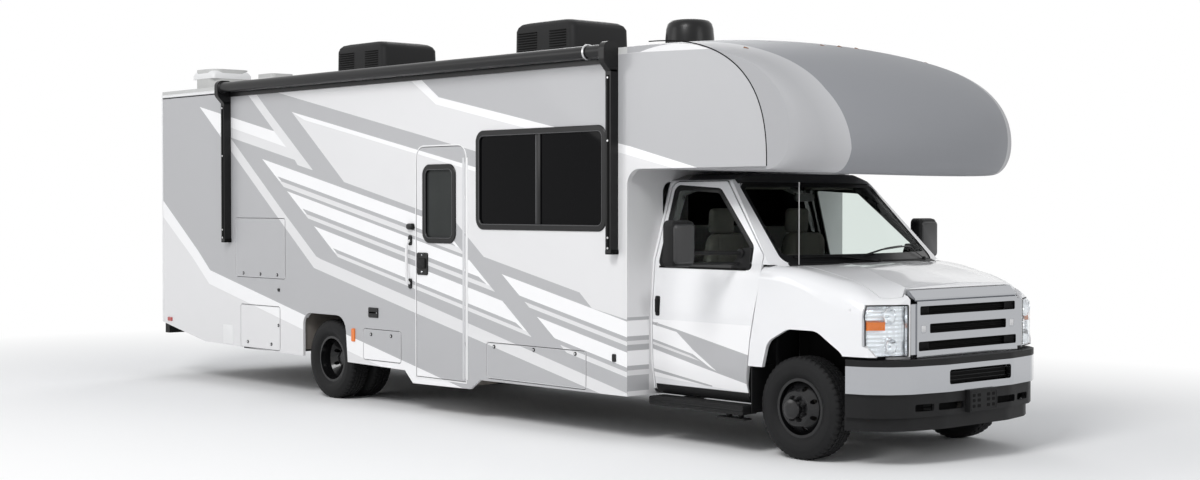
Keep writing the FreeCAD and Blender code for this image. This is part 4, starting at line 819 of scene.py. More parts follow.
# Coach windows: a black frame over each pane's edge, a thin lighter bead inside it.
windowFrame = {"inside": 0.030, "outside": 0.020, "proud": 0.012, "bead": 0.006, "divider": (-2.550, -2.500),
               "rearPane": (-0.380, 0.380, 1.750, 2.250), "entryPane": (-4.070, -3.637, 1.500, 2.140)}


def windowShapes(rear, front, low, high, face, plane="side"):
    inside = windowFrame["inside"]
    seat = rectangle(rear + inside, front - inside, low + inside, high - inside, 0.045)
    out = face + math.copysign(windowFrame["proud"], face)
    back = face - math.copysign(0.016, face)
    bead = rectangle(
        rear + inside - 0.002, front - inside + 0.002, low + inside - 0.002, high - inside + 0.002, 0.047
    )
    return [ring(seat, inside + windowFrame["outside"], plane, back, out, 0.005),
            ring(bead, windowFrame["bead"], plane, back, out + math.copysign(0.002, face), 0.002, 1)]


shapes = []
for name, (rear, front, low, high, side) in glass.items():
    shapes += windowShapes(rear, front, low, high, side * halfWidth)
    if name in ("lounge", "dinette"):
        split = windowFrame["divider"]
        shapes.append(box(split, (side * 1.238, side * 1.262), (low + 0.02, high - 0.02), 0.003))
        shapes.append(
            box(
                (split[0] - 0.018, split[0] - 0.008), (side * 1.240, side * 1.256), (low + 0.03, high - 0.03),
                0.002, 1
            )
        )
shapes += windowShapes(*windowFrame["rearPane"], rearWall, "front")
makePiece("window_frames", "chassis", [blackCoat, beadGrey], shapes)
makePiece(
    "entry_window_frame", "entry_door", [blackCoat, beadGrey],
    windowShapes(*windowFrame["entryPane"], -halfWidth)
)
print("window frames made")

# Entry door: its frame on the wall, hinge strip, lock, and the grab handle beside it.
entryTrim = {
    "frame": 0.013, "proud": 0.0025, "lock": (-4.170, -4.015, 1.200, 1.395), "handle": (-4.270, 1.120, 1.500),
    "leaf": (-3.527, -3.500), "jamb": (-3.478, -3.452), "strip": (0.330, 2.210), "axis": (-3.4890, -1.2560)}
rear, front, low, high = entryTrim["lock"]
frameRing = ring(
    entryOutline(0.006), entryTrim["frame"], "side", -1.250, -halfWidth - entryTrim["proud"], 0.002, 0
)
hingeSide = box(entryTrim["jamb"], (-1.254, -1.262), entryTrim["strip"], 0.003, 0)
shapes = [frameRing, hingeSide]
x, low2, high2 = entryTrim["handle"]
middle = (low2 + high2) / 2
ends = [(1.256, low2), (1.290, low2 + 0.015), (1.302, low2 + 0.06), (1.304, middle), (1.302, high2 - 0.06),
        (1.290, high2 - 0.015), (1.256, high2)]
grip = smoothPath([(x, -out, z) for out, z in ends])
shapes.append(tube(grip, 0.013, 14, 2, up=(1, 0, 0)))
for z in (low2, high2):
    levels = ((-1.254, 0, 0.02), (-1.270, 0, 0.02), (-1.274, 0.004, 0.017))
    shapes.append(cover("side", x - 0.022, x + 0.022, z - 0.045, z + 0.045, levels, 1))
porch = [(-1.254, 0.050, 0.028), (-1.272, 0.050, 0.028), (-1.286, 0.042, 0.022), (-1.292, 0.024, 0.012)]
shapes.append(
    stack([(y, -4.260 - a, -4.260 + a, 1.620 - b, 1.620 + b, b * 0.95)
    for y, a, b in porch], "side", 1)
)
makePiece("entry_frame", "chassis", [railWhite, blackCoat, railWhite], shapes)
shapes = [cover(
    "side", rear, front, low, high, ((-1.254, 0, 0.018), (-1.264, 0, 0.018), (-1.268, 0.004, 0.015))
),
          stack([(-1.262, rear + 0.02, front - 0.02, low + 0.055, high - 0.045, 0.012), (
              -1.279, rear + 0.024, front - 0.024, low + 0.06, high - 0.05, 0.010
          ),
                 (-1.283, rear + 0.03, front - 0.03, low + 0.066, high - 0.056, 0.008)], "side", 1),
          button((-4.092, -1.268, low + 0.028), 0.011, "y", -0.006, 2), button(
              (-4.092, -1.268, high - 0.020), 0.009, "y", -0.004, 2
          )]
shapes.append(box(entryTrim["leaf"], (-1.254, -1.2595), entryTrim["strip"], 0.002, 3))
hingeX, hingeY = entryTrim["axis"]
for z in np.arange(0.340, 2.200, 0.31):
    shapes.append(
        tube(
            [(hingeX, hingeY, z), (hingeX, hingeY, z + 0.150), (hingeX, hingeY, z + 0.28)], 0.0065, 12, 3,
            up=(1, 0, 0)
        )
    )
makePiece("entry_hardware", "entry_door", [blackCoat, grainBlack, chromeSkin, railGrey], shapes)
print("entry door dressed")

# Locker doors: hinges and locks on the doors, catches and marker lamps on the wall.
lockerTrim = {
    "upper_rear": [(-7.100, 1.130), (-6.780, 1.130), (-6.470, 1.130)], "lower_rear": [
        (-7.020, 0.450), (-6.580, 0.450), (-6.450, 0.640)
    ],
    "mid": [(-4.880, 0.640), (-4.570, 0.640)], "front": [(-3.100, 0.635), (-2.590, 0.640), (-2.080, 0.640)],
    "left_rear": [(-7.550, 0.655), (-6.850, 0.655)], "left_mid": [(-4.550, 0.640), (-3.860, 0.640)]}
for name, spots in lockerTrim.items():
    rear, front, low, high, side = lockers[name]
    face = side * halfWidth
    inner = rectangle(rear + 0.004, front - 0.004, low + 0.004, high - 0.004, 0.021)
    shapes = [ring(inner, 0.004, "side", face - side * 0.003, face + side * 0.0016, 0.0005, 2)]
    for x, z in spots:
        shapes.append(button((x, face, z), 0.016, "y", side * 0.007, 0))
        shapes.append(button((x, face + side * 0.006, z), 0.008, "y", side * 0.003, 1, 14))
    makePiece(
        "locker_trim_" + name, "locker_" + name, [blackCoat, satinAlloy, railGrey], shapes
    )


def plate(x, z, width, height, out, material=0, side=rightSide, radius=0.008):
    # a rounded cover on the flat side, standing out from it
    a, b = width / 2, height / 2
    face = side * halfWidth
    levels = [
        (face - side * 0.004, 0, radius), (face + side * out * 0.7, 0, radius),
        (face + side * out, min(0.003, a * 0.3), radius)
    ]
    return cover("side", x - a, x + a, z - b, z + b, levels, material)


sideFittings = [
    plate(-6.440, 0.985, 0.036, 0.030, 0.010), plate(-7.405, 0.505, 0.190, 0.190, 0.0035, 5), plate(
        -8.600, 0.600, 0.090, 0.040, 0.012, 3
    ),
    plate(-5.160, 0.619, 0.050, 0.120, 0.014, 4), plate(-4.841, 0.838, 0.150, 0.090, 0.010, 0), plate(
        -1.625, 0.637, 0.040, 0.060, 0.012, 0
    ),
    plate(-4.841, 0.838, 0.120, 0.010, 0.014, 1)]
leftFittings = [
    plate(-8.600, 0.640, 0.060, 0.036, 0.014, 3, leftSide), plate(
        -5.160, 0.619, 0.036, 0.106, 0.014, 4, leftSide
    ),
    plate(-6.200, 0.960, 0.300, 0.360, 0.008, 2, leftSide), plate(
        -5.600, 1.350, 0.420, 0.260, 0.008, 2, leftSide
    ),
    plate(-5.600, 1.400, 0.340, 0.030, 0.014, 0, leftSide), plate(
        -5.600, 1.300, 0.340, 0.030, 0.014, 0, leftSide
    ),
    plate(-3.000, 0.520, 0.160, 0.140, 0.008, 2, leftSide)]
makePiece(
    "side_fittings", "chassis",
    [blackCoat, satinAlloy, railGrey, redLens, amberLens, railWhite], sideFittings + leftFittings
)
print("lockers and side fittings made")

# Trims along the coach: gutter rails, rear corners and the seam of the nose cap.
trimLines = {
    "seam": 0.0045, "rear": -8.752, "front": -1.95, "roofUnderside": (
        (0.0, 3.054), (0.3, 3.048), (0.6, 3.032), (0.9, 3.003), (1.1, 2.978), (1.2, 2.963)
    )}
shapes = []
for side in (rightSide, leftSide):
    face = side * halfWidth
    section = [
        (-0.002, -0.014), (0.009, -0.012), (0.009, 0.006), (0.013, 0.009), (0.013, 0.015), (-0.002, 0.017)
    ]
    rail = np.array([(x, face, wallTop) for x in (trimLines["rear"], -5.0, trimLines["front"])])
    shapes.append(sweep(rail, [(side * -a, b) for a, b in section], material=0))
    shapes.append(
        box(
            (-8.750, trimLines["front"]), (face, face + side * 0.0035), (wallTop - 0.026, wallTop - 0.017),
            0.001, 1
        )
    )
    curve = bunkCurve(40, 0.006)
    seam = np.stack([curve[:, 0], np.full(len(curve), face), curve[:, 1]], -1)
    shapes.append(tube(seam, trimLines["seam"], 8, 1, up=(0, 1, 0), flat=0.6))
    corner = [(-8.750, face, 0.57), (-8.750, face, 1.7), (-8.750, face, 2.94)]
    shapes.append(tube(corner, 0.010, 10, 0, up=(1, 0, 0)))
shapes.append(tube([(-8.750, y, 2.962) for y in (-1.25, -0.4, 0.4, 1.25)], 0.010, 10, 0))
# a panel closes the bow between the rear wall and the roof
bow = [
    (side * y, z) for side,
    half in ((-1, trimLines["roofUnderside"][:0:-1]), (1, trimLines["roofUnderside"])) for y, z in half
]
shapes.append(prism([(-1.2, 2.957), *bow, (1.2, 2.957)], "front", -8.735, -8.750, material=2))
makePiece("coach_trims", "chassis", [railWhite, softBlack, paleGelcoat], shapes)
print("coach trims made")

# Front lamps. The cover follows the nose; behind it are a ribbed bowl, two reflectors and an amber block.
lampFace = {
    "across": (0.672, 0.715, 0.775, 0.832, 0.885, 0.925, 0.945, 0.958), "heights": (
        0.76, 1.02, 1.05, 1.085, 1.118
    ),
    "ahead": ((0.7339, 0.7198, 0.7000, 0.6813, 0.6598, 0.6336, 0.6150, 0.5840), (
        0.7339, 0.7198, 0.7000, 0.6813, 0.6598, 0.6336, 0.6130, 0.5800
    ),
              (0.7339, 0.7198, 0.7000, 0.6813, 0.6598, 0.6336, 0.6075, 0.5720), (
                  0.7339, 0.7198, 0.7000, 0.6813, 0.6598, 0.6180, 0.5784, 0.5600
              ),
              (0.7339, 0.7198, 0.7000, 0.6603, 0.6248, 0.5808, 0.5600, 0.5500)),
    "bowlDepth": 0.052, "ribs": 0.011, "reflectors": (
        (0.800, 1.045, 0.056), (0.786, 0.838, 0.050)
    ), "amber": (0.845, 0.948, 0.950, 1.008),
    "filler": ((0.905, 0.768), (0.925, 0.797), (0.945, 0.826), (0.956, 0.842))}


def lampX(y, z):
    # the nose's face: straight lines between the measured places, first across and then up
    rows = np.stack([np.interp(y, lampFace["across"], row) for row in lampFace["ahead"]])
    at = np.interp(z, lampFace["heights"], np.arange(len(lampFace["heights"])))
    low = np.minimum(at.astype(int), len(rows) - 2)
    share = at - low
    lower = np.take_along_axis(rows, low[None], 0)[0]
    upper = np.take_along_axis(rows, low[None] + 1, 0)[0]
    return lower * (1 - share) + upper * share


def lampGrid(inwards, rows=24, columns=64, edge=0.004, ripple=0.0):
    # a grid over the lamp's outline: columns go across, rows go up from the slanting lower edge
    s, t = np.meshgrid(np.linspace(0, 1, columns), np.linspace(0, 1, rows))
    y = 0.671 + edge + s * (0.286 - 2 * edge)
    low = 0.768 + edge + np.maximum(y - 0.905, 0) * 1.45
    z = low + (1.119 - edge - low) * t
    outer = np.interp(z, (0.80, 1.05, 1.085, 1.118), (0.957, 0.957, 0.947, 0.931)) - edge
    y = 0.671 + edge + s * (outer - 0.671 - edge)
    x = lampX(y, z) - inwards + ripple * (
        np.cos(2 * math.pi * y / lampFace["ribs"]) + 0.8 * np.cos(2 * math.pi * z / 0.030)
    )
    return np.stack([x, y, z], -1)


def border(grid):
    # the points round a grid's four sides, in order
    return np.concatenate([grid[0], grid[1:, -1], grid[-1, -2::-1], grid[-2:0:-1, 0]])


def lampPatch(y0, y1, z0, z1, front, back, material):
    # a block between two depths behind the lamp's face
    s, t = np.meshgrid(np.linspace(y0, y1, 10), np.linspace(z0, z1, 6))
    loops = [border(np.stack([lampX(s, t) - depth, s, t], -1)) for depth in (back, front)]
    return patch(np.stack(loops), material, wrapColumns=True, capEnds=True)


bowl = lampGrid(lampFace["bowlDepth"], 72, 200, 0.010, 0.0018)
bowl[..., 0] = np.maximum(bowl[..., 0], 0.500)
rim = lampGrid(0.005, 72, 200, 0.005)
shapes = [patch(bowl, 0), patch(np.stack([border(rim), border(bowl)]), 0, wrapColumns=True)]
for y, z, radius in lampFace["reflectors"]:
    depth = float(lampX(np.array([y]), np.array([z]))[0]) - 0.016
    inner = [(-0.042 * (1 - (r / radius) ** 2), r) for r in np.linspace(0.0, radius, 12)]
    outer = [(a - 0.0035, r + 0.0006) for a, r in inner[::-1]]
    shapes.append(lathe(inner + outer, (depth - 0.004, y, z), "x", 36, 1))
    shapes.append(
        lathe(
            [(-0.040, 0.0), (-0.040, 0.010), (-0.020, 0.010), (-0.012, 0.006), (-0.010, 0.0)], (depth, y, z),
            "x", 16, 2
        )
    )
    shapes.append(
        lathe(
            [(-0.002, radius), (0.002, radius + 0.001), (0.002, radius + 0.006), (-0.004, radius + 0.006)],
            (depth, y, z), "x", 36, 1
        )
    )
shapes.append(lampPatch(*lampFace["amber"], 0.006, 0.040, 3))
edge = border(lampGrid(0.0015, 24, 40, 0.001))
shapes.append(sweep(edge, circle(0.0035, 8), closed=True, material=4, up=(1, 0.02, 0.01)))
y, z = np.array(lampFace["filler"]).T
shapes.append(
    sweep(np.stack([lampX(y, z) + 0.001, y, z], -1), circle(0.006, 8, 0.5), material=5, up=(0, 0, 1))
)
y, z = np.full(12, 0.700), np.linspace(0.775, 1.112, 12)
shapes.append(tube(np.stack([lampX(y, z) - 0.004, y, z], -1), 0.003, 8, 4, up=(1, 0, 0)))
lampMaterials = [lampSilver, lampSilver, lensClear, amberLens, softBlack, cabPaint]
makePiece(
    "lamp_bowls", "chassis", lampMaterials, shapes + [mirrored(shape) for shape in shapes],
    ("headlamps",)
)
lampCover = patch(lampGrid(0.0005, 24, 64, 0.002), 0)
makePiece(
    "lamp_covers", "chassis", [lensClear], [lampCover, mirrored(lampCover)], closed=False,
    thickness=0.0022
)
print("front lamps made")

# Grille: black cells behind the three slots, fine upright bars at their ends, two small plain squares.
grilleTrim = {
    "slots": ((0.797, 0.862, 0.575), (0.917, 0.983, 0.450), (1.046, 1.108, 0.560)), "barPitch": 0.0125,
    "barsFrom": 0.450
}
shapes = []
for index, (low, high, half) in enumerate(grilleTrim["slots"]):
    shapes.append(
        prism(
            rectangle(-half - 0.006, half + 0.006, low - 0.006, high + 0.006, 0.012), "front", 0.7025, 0.708
        )
    )
    for z in (low + 0.002, high - 0.002):
        shapes.append(box((0.7030, 0.7460), (-half + 0.012, half - 0.012), (z - 0.001, z + 0.001), 0.0004))
    if index != 1:
        for y in np.arange(grilleTrim["barsFrom"], half - 0.008, grilleTrim["barPitch"]):
            for side in (rightSide, leftSide):
                shapes.append(
                    box(
                        (0.716, 0.736), (side * y, side * (y + 0.0035)), (low + 0.001, high - 0.001), 0.001, 1
                    )
                )
    for row in (0.35, 0.65):
        z = low + (high - low) * row
        shapes.append(box((0.712, 0.724), (-half + 0.004, half - 0.004), (z - 0.002, z + 0.002), 0.0008))
for side in (rightSide, leftSide):
    shapes.append(
        ring(
            rectangle(*sorted((side * 0.495, side * 0.545)), 0.926, 0.974, 0.004), 0.004, "front", 0.749,
            0.7515, 0.001, 2
        )
    )
    levels = ((0.7495, 0, 0.003), (0.7508, 0.002, 0.003))
    shapes.append(cover("front", *sorted((side * 0.497, side * 0.543)), 0.928, 0.972, levels, 3))
makePiece("grille_cells", "chassis", [softBlack, blackCoat, chromeSkin, satinAlloy], shapes)

# Front bumper: a dark cavity behind its slot, dark backing behind the apron's slots, a blank plate bracket.
bumperTrim = {"slot": (0.355, 0.566, 0.658)}
half, low, high = bumperTrim["slot"]
shapes = [prism(rectangle(-half, half, low, high, 0.018), "front", 0.792, 0.806)]
for z in np.linspace(low + 0.018, high - 0.018, 3):
    shapes.append(box((0.806, 0.820), (-half + 0.006, half - 0.006), (z - 0.003, z + 0.003), 0.001, 1))
for side in (rightSide, leftSide):
    for y0, y1, x in ((0.170, 0.460, 0.770), (0.480, 0.670, 0.715)):
        shapes.append(box((x, x + 0.004), (side * y0, side * y1), (0.372, 0.448), 0.001, 0))
    for y, width in ((0.055, 0.040), (0.115, 0.034)):
        across = sorted((side * (y - width / 2), side * (y + width / 2)))
        for z in (0.392, 0.432, 0.468):
            shapes.append(
                cover("front", *across, z - 0.012, z + 0.012, ((0.8815, 0, 0.006), (0.8835, 0.002, 0.005)))
            )
shapes.append(ring(rectangle(-0.146, 0.146, 0.366, 0.494, 0.012), 0.008, "front", 0.8815, 0.885, 0.002, 1))
makePiece("bumper_cells", "chassis", [softBlack, grainBlack], shapes)
print("grille and bumper dressed")

# Windshield: its black border, the cowl panel in front of it, two wipers and the aerial.
screenShape = {
    "radius": 2.456, "outside": ((0.872, 1.388), (0.762, 1.975)), "inside": ((0.838, 1.446), (0.735, 1.946)),
    "round": 0.05}


def screen(y, z, out):
    # the glass: a circle in plan, on the plane that leans back
    bow = screenShape["radius"] - np.sqrt(screenShape["radius"] ** 2 - y ** 2)
    return np.stack(
        [screenPlane["foot"] - bow - screenPlane["lean"] * (z - screenPlane["level"]) + out, y, z], -1
    )


def screenLoop(points, radius, steps=10, spread=24):
    (low, lowZ), (high, highZ) = points
    corners = roundOutline(
        [(-low, lowZ, radius), (low, lowZ, radius), (high, highZ, radius), (-high, highZ, radius)], steps
    )
    ahead = np.roll(corners, -1, 0)
    length = np.linalg.norm(ahead - corners, axis=1)
    runs = [
        a + (b - a) * np.linspace(0, 1, spread, endpoint=False)[:, None] if far > 0.2 else a[None] for a, b,
        far in zip(corners, ahead, length)
    ]
    return np.concatenate(runs)


outside, inside = screenLoop(
    screenShape["outside"], screenShape["round"]
), screenLoop(screenShape["inside"], 0.04)
section = [(outside, -0.016), (outside, -0.005), (inside, -0.0045), (inside, -0.014)]
band = patch(np.stack([screen(*loop.T, out) for loop, out in section]), 0, wrapRows=True, wrapColumns=True)
mould = sweep(screen(*outside.T, -0.003), circle(0.005, 8), closed=True, material=1, up=(1, 0, 0.9))
across = np.linspace(-0.84, 0.84, 60)
cowlRows = [
    (1.399, -0.010), (1.396, -0.002), (1.3865, 0.006), (1.3700, 0.034), (1.3600, 0.050), (1.3560, 0.046),
    (1.3720, -0.004)
]
cowl = patch(
    np.stack([screen(across, np.full(60, z), out) for z, out in cowlRows]), 2, wrapRows=True, capEnds=False
)
ends = [[row * 60 for row in range(len(cowlRows))], [row * 60 + 59 for row in range(len(cowlRows))][::-1]]
cowl = (cowl[0], cowl[1] + ends, 2)
vents = [
    box((0, 0.006), (y, y + 0.022), (0, 0.001), 0.0003, 1)
    for y in (-0.60, -0.57, -0.54, -0.51, 0.51, 0.54, 0.57, 0.60)
]
vents = [
    moved(shape, screen(np.array([float(np.mean(shape[0][:, 1]))]), np.array([1.378]), 0.022)[0] * (1, 0, 1))
    for shape in vents
]
makePiece(
    "windshield_frame", "chassis", [blackCoat, softBlack, grainBlack],
    [band, mould, cowl, *vents]
)

wiperLines = {
    "long": [(-0.760, 1.432), (-0.560, 1.433), (-0.360, 1.430), (-0.180, 1.424), (-0.040, 1.416)],
    "near": [(-0.216, 1.417), (0.000, 1.450), (0.134, 1.469), (0.260, 1.482), (0.400, 1.490), (0.480, 1.492)],
    "arms": [
        [(0.020, 1.392), (-0.120, 1.408), (-0.360, 1.434)],
        [(0.690, 1.400), (0.600, 1.450), (0.535, 1.490), (0.134, 1.473)]
    ]}
shapes = []
for name in ("long", "near"):
    path = smoothPath([screen(np.array(y), np.array(z), 0.000) for y, z in wiperLines[name]], 8)
    shapes.append(
        sweep(
            path, [(-0.002, -0.004), (0.002, -0.004), (0.0035, 0.006), (-0.0035, 0.006)], material=1,
            up=(1, 0, 1)
        )
    )
    over = smoothPath([screen(np.array(y), np.array(z), 0.011) for y, z in wiperLines[name]], 8)
    shapes.append(sweep(over, circle(0.0055, 8, 0.6), material=0, up=(1, 0, 1)))
for arm in wiperLines["arms"]:
    path = smoothPath(
        [screen(np.array(y), np.array(z), out) for (y, z), out in zip(arm, (0.010, 0.020, 0.022, 0.020))], 8
    )
    shapes.append(sweep(path, circle(0.0075, 8, 0.5), material=0, up=(1, 0, 1)))
    y, z = arm[0]
    x = float(screen(np.array(y), np.array(z), 0.012)[0])
    shapes.append(
        lathe(
            [(-0.020, 0.0), (-0.020, 0.016), (0.004, 0.015), (0.010, 0.010), (0.012, 0.0)], (x, y, z), "z",
            18, 0
        )
    )
makePiece("wipers", "chassis", [blackCoat, softBlack], shapes)

aerial = {"foot": (-0.140, -0.815, 1.352), "top": 1.970, "radius": 0.0028}
x, y, z = aerial["foot"]
top = aerial["top"] - z
tip = [(top - 0.004, 0.0), (top - 0.003, 0.004), (top + 0.004, 0.004), (top + 0.006, 0.0)]
shapes = [knob([(0.0, 0.016), (0.012, 0.014), (0.022, 0.006), (0.030, 0.0045)], (x, y, z), "z", 18, 0),
          knob([(0.028, aerial["radius"]), (top, aerial["radius"] * 0.7)], (x, y, z), "z", 10, 1),
          lathe(tip, (x, y, z), "z", 10, 1)]
makePiece("aerial", "chassis", [blackCoat, satinAlloy], shapes)
print("windshield dressed")

# Cab doors: black glass frames, handles and locks; mirrors on two arms.
doorTrim = {
    "handle": (-1.430, -1.382, 0.962, 1.114), "lock": (-1.410, 0.900), "belt": (-1.405, -0.500, 1.338),
    "sail": [
        (-0.455, 1.350, 0.012), (-0.468, 1.500, 0.012), (-0.560, 1.500, 0.025), (-0.640, 1.360, 0.02),
        (-0.630, 1.346, 0.01)
    ]}
mirrorShape = {
    "rear": -0.790, "front": -0.690, "inner": 1.300, "outer": 1.550, "low": 1.360, "high": 1.700,
    "corner": 0.045
}


def skinLoops(outline, rows):
    # an outline laid on the cab's side: rows are (growth of the outline, distance off the skin)
    loops = [(grow(outline, shift), out) for shift, out in rows]
    return np.stack(
        [onPlane("side", loop[:, 0], loop[:, 1], cabSkin(loop[:, 1], out))
        for loop, out in loops]
    )


def skinPlate(outline, rows):
    return patch(skinLoops(outline, rows), 0, wrapColumns=True, capEnds=True)


def dense(outline, pitch=0.02):
    # more points on the long straight runs, so that a frame can follow a curved skin
    ahead = np.roll(outline, -1, 0)
    counts = np.maximum((np.linalg.norm(ahead - outline, axis=1) / pitch).astype(int), 1)
    return np.concatenate(
        [a + (b - a) * np.linspace(0, 1, n, endpoint=False)[:, None]
        for a, b, n in zip(outline, ahead, counts)]
    )


glassEdge = dense(roundOutline(cabGlassLine, 8))
frameRows = [
    (-0.026, -0.018), (-0.026, -0.005), (-0.022, -0.003), (0.008, 0.0015), (0.012, 0.000), (0.012, -0.018)
]
doorShapes = [patch(skinLoops(glassEdge, frameRows), 0, wrapRows=True, wrapColumns=True)]
rear, front, low, high = doorTrim["handle"]
cup = ((0.994, 0, 0.014), (1.011, 0, 0.014), (1.0135, 0.004, 0.014))
lever = ((1.008, 0.010, 0.010), (1.024, 0.011, 0.010), (1.030, 0.015, 0.010))
doorShapes.append(cover("side", rear, front, low, high, cup))
doorShapes.append(cover("side", rear, front, low + 0.010, high - 0.004, lever, 1))
x, z = doorTrim["lock"]
doorShapes.append(knob([(-0.010, 0.012), (0.003, 0.012), (0.005, 0.009)], (x, 1.008, z), "y", 20, 2))
rear, front, z = doorTrim["belt"]
lip = np.linspace(rear, front, 24)
doorShapes.append(
    sweep(
        np.stack([lip, np.full(24, float(cabSkin(z, 0.001))), np.full(24, z)], -1),
        [(-0.004, -0.007), (0.004, -0.007), (0.003, 0.007), (-0.004, 0.008)], material=3
    )
)
m = mirrorShape
headRows = [
    (m["rear"] + 0.004, 0.012), (m["rear"], 0.004), (m["rear"] + 0.003, 0.000), (-0.745, 0.000),
    (-0.712, 0.006), (-0.697, 0.020), (m["front"] + 0.001, 0.042)
]
head = stack(
    [(
        x, m["inner"] + i, m["outer"] - i, m["low"] + i, m["high"] - i, m["corner"] - i * 0.3
    ) for x, i in headRows],
    "front", 0, 10
)
panel = stack([(-0.706, 1.330, 1.532, 1.388, 1.672, 0.03), (
    m["front"] - 0.0005, 1.330, 1.532, 1.388, 1.672, 0.03
),
               (m["front"] + 0.0060, 1.338, 1.522, 1.396, 1.664, 0.027)], "front", 1, 8)
levels = ((m["rear"] + 0.006, 0, 0.03), (m["rear"] - 0.001, 0.001, 0.03))
silver = [
    cover("front", 1.318, 1.532, low, high, levels, 2, 8) for low, high in ((1.492, 1.684), (1.376, 1.478))
]
mirrorShapes = [head, panel, *silver]
for z, radius in ((1.462, 0.023), (1.385, 0.016)):
    arm = smoothPath(
        [(-0.560, 0.955, z - 0.004), (-0.585, 1.020, z - 0.002), (-0.650, 1.170, z), (-0.735, 1.330, z)], 6
    )
    mirrorShapes.append(tube(arm, radius, 14, 0, flat=0.7))
    boss = [(-0.012, radius + 0.010), (0.010, radius + 0.010), (0.014, radius + 0.004)]
    mirrorShapes.append(knob(boss, (-0.562, 0.978, z - 0.004), "y", 20, 0))
sail = dense(roundOutline(doorTrim["sail"], 5))
sail = sail if area(sail) > 0 else sail[::-1]
mirrorShapes.append(skinPlate(sail, [(0.0, -0.012), (0.0, 0.007), (-0.006, 0.012)]))
doorMaterials, mirrorMaterials = [blackCoat, grainBlack, satinAlloy, softBlack], [
    grainBlack, mirrorBack, mirrorSilver
]
for word, side in sideNames.items():
    body = "cab_door_" + word
    makePiece(
        "door_trim_" + word, body, doorMaterials, [onSide(shape, side) for shape in doorShapes]
    )
    dressed = [onSide(shape, side) for shape in mirrorShapes]
    makePiece("door_mirror_" + word, body, mirrorMaterials, dressed, ("mirror_" + word,))
print("cab doors and mirrors made")

# Roof: two air conditioners with louvres, a closed dome, the lids of the vents.
coolers = {
    "units": ((-6.840, -5.980), (-3.980, -3.145)), "louvres": 9, "louvreFoot": 3.150, "louvrePitch": 0.0225,
    "shell": ((3.085, 0.0, 0.0, 0.340), (3.110, 0.0, 0.0, 0.340), (3.114, 0.006, 0.006, 0.334),
              (3.360, 0.010, 0.018, 0.332), (3.396, 0.024, 0.044, 0.322), (3.422, 0.052, 0.094, 0.300),
              (3.435, 0.100, 0.165, 0.255), (3.439, 0.220, 0.280, 0.150), (3.4395, 0.300, 0.360, 0.060))}
shapes = []
for rear, front in coolers["units"]:
    rows = [
        (z, rear + a, front - b, -half, half, 0.06 if half > 0.2 else 0.03) for z, a, b,
        half in coolers["shell"]
    ]
    shapes.append(stack(rows, "plan", 0, 8))
    for side in (rightSide, leftSide):
        for index in range(coolers["louvres"]):
            z = coolers["louvreFoot"] + coolers["louvrePitch"] * index
            shapes.append(
                box((rear + 0.075, rear + 0.330), (side * 0.328, side * 0.3395), (z, z + 0.010), 0.002, 1)
            )
            shapes.append(
                box((front - 0.330, front - 0.110), (side * 0.328, side * 0.3395), (z, z + 0.010), 0.002, 1)
            )
    for index in range(coolers["louvres"]):
        z = coolers["louvreFoot"] + coolers["louvrePitch"] * index
        shapes.append(box((rear + 0.0005, rear + 0.012), (-0.250, 0.250), (z, z + 0.010), 0.002, 1))
    shapes.append(
        ring(
            rectangle(rear + 0.150, front - 0.190, -0.200, 0.200, 0.04), 0.010, "plan", 3.425, 3.4365, 0.002,
            1
        )
    )
dome = [
    (3.100, 0.0), (3.100, 0.217), (3.130, 0.217), (3.134, 0.205), (3.195, 0.203), (3.270, 0.196),
    (3.310, 0.184), (3.335, 0.160), (3.345, 0.115), (3.348, 0.05), (3.348, 0.0)
]
shapes.append(lathe(dome, (-2.070, 0, 0), "z", 56, 2))
makePiece(
    "roof_equipment", "chassis", [grainBlack, softBlack, blackCoat], shapes, ("roof_units",)
)
shapes = []
for rear, front, right, left, top in (
    (-8.560, -8.130, -1.000, -0.540, 3.240), (-7.300, -7.000, -0.980, -0.720, 3.130)
):
    rows = [
        (top - 0.100, -0.004, 0.03), (top - 0.060, -0.006, 0.04), (top - 0.030, 0.004, 0.06),
        (top - 0.010, 0.026, 0.07), (top - 0.001, 0.060, 0.07), (top + 0.001, 0.110, 0.02)
    ]
    shapes.append(stack([(z, rear + i, front - i, right + i, left - i, r) for z, i, r in rows], "plan"))
makePiece("vent_lids", "chassis", [railWhite], shapes)
print("roof equipment made")

# Awning: end caps, a silver ring and screws on the arms, a rolled flap of fabric under the rail.
awningTrim = {"arms": (-7.365, -1.612), "tube": (-7.335, -1.642, 0.058), "reach": 1.345, "height": 2.985}
shapes = []
low, high, radius = awningTrim["tube"]
y, z = -awningTrim["reach"], awningTrim["height"]
for x in (low, high):
    cap = [(-0.012, radius), (0.010, radius + 0.001), (0.016, radius - 0.006)]
    shapes.append(knob(cap, (x, y, z), "x", 32, 0))
band = [(-0.010, radius - 0.004), (-0.010, radius + 0.003), (0.010, radius + 0.003), (0.010, radius - 0.004)]
shapes.append(lathe(band, (-1.83, y, z), "x", 32, 1))
for x in awningTrim["arms"]:
    shapes.append(box((x - 0.012, x + 0.012), (-1.3355, -1.3400), (1.470, 2.800), 0.002, 2))
    for z2 in (1.480, 1.560, 2.300, 2.780):
        shapes.append(button((x, -1.338, z2), 0.009, "y", -0.006, 1, 12))
    shapes.append(box((x - 0.036, x + 0.036), (-1.256, -1.334), (1.432, 1.470), 0.004, 2))
spiral = np.linspace(0, 1, 40)
shapes.append(
    tube(
        np.stack(
            [low + (high - low) * spiral, np.full(40, y + radius * 0.93), np.full(40, z - radius * 0.42)], -1
        ),
        0.008, 10, 2
    )
)
makePiece("awning_trim", "chassis", [blackCoat, satinAlloy, softBlack], shapes)
print("awning dressed")

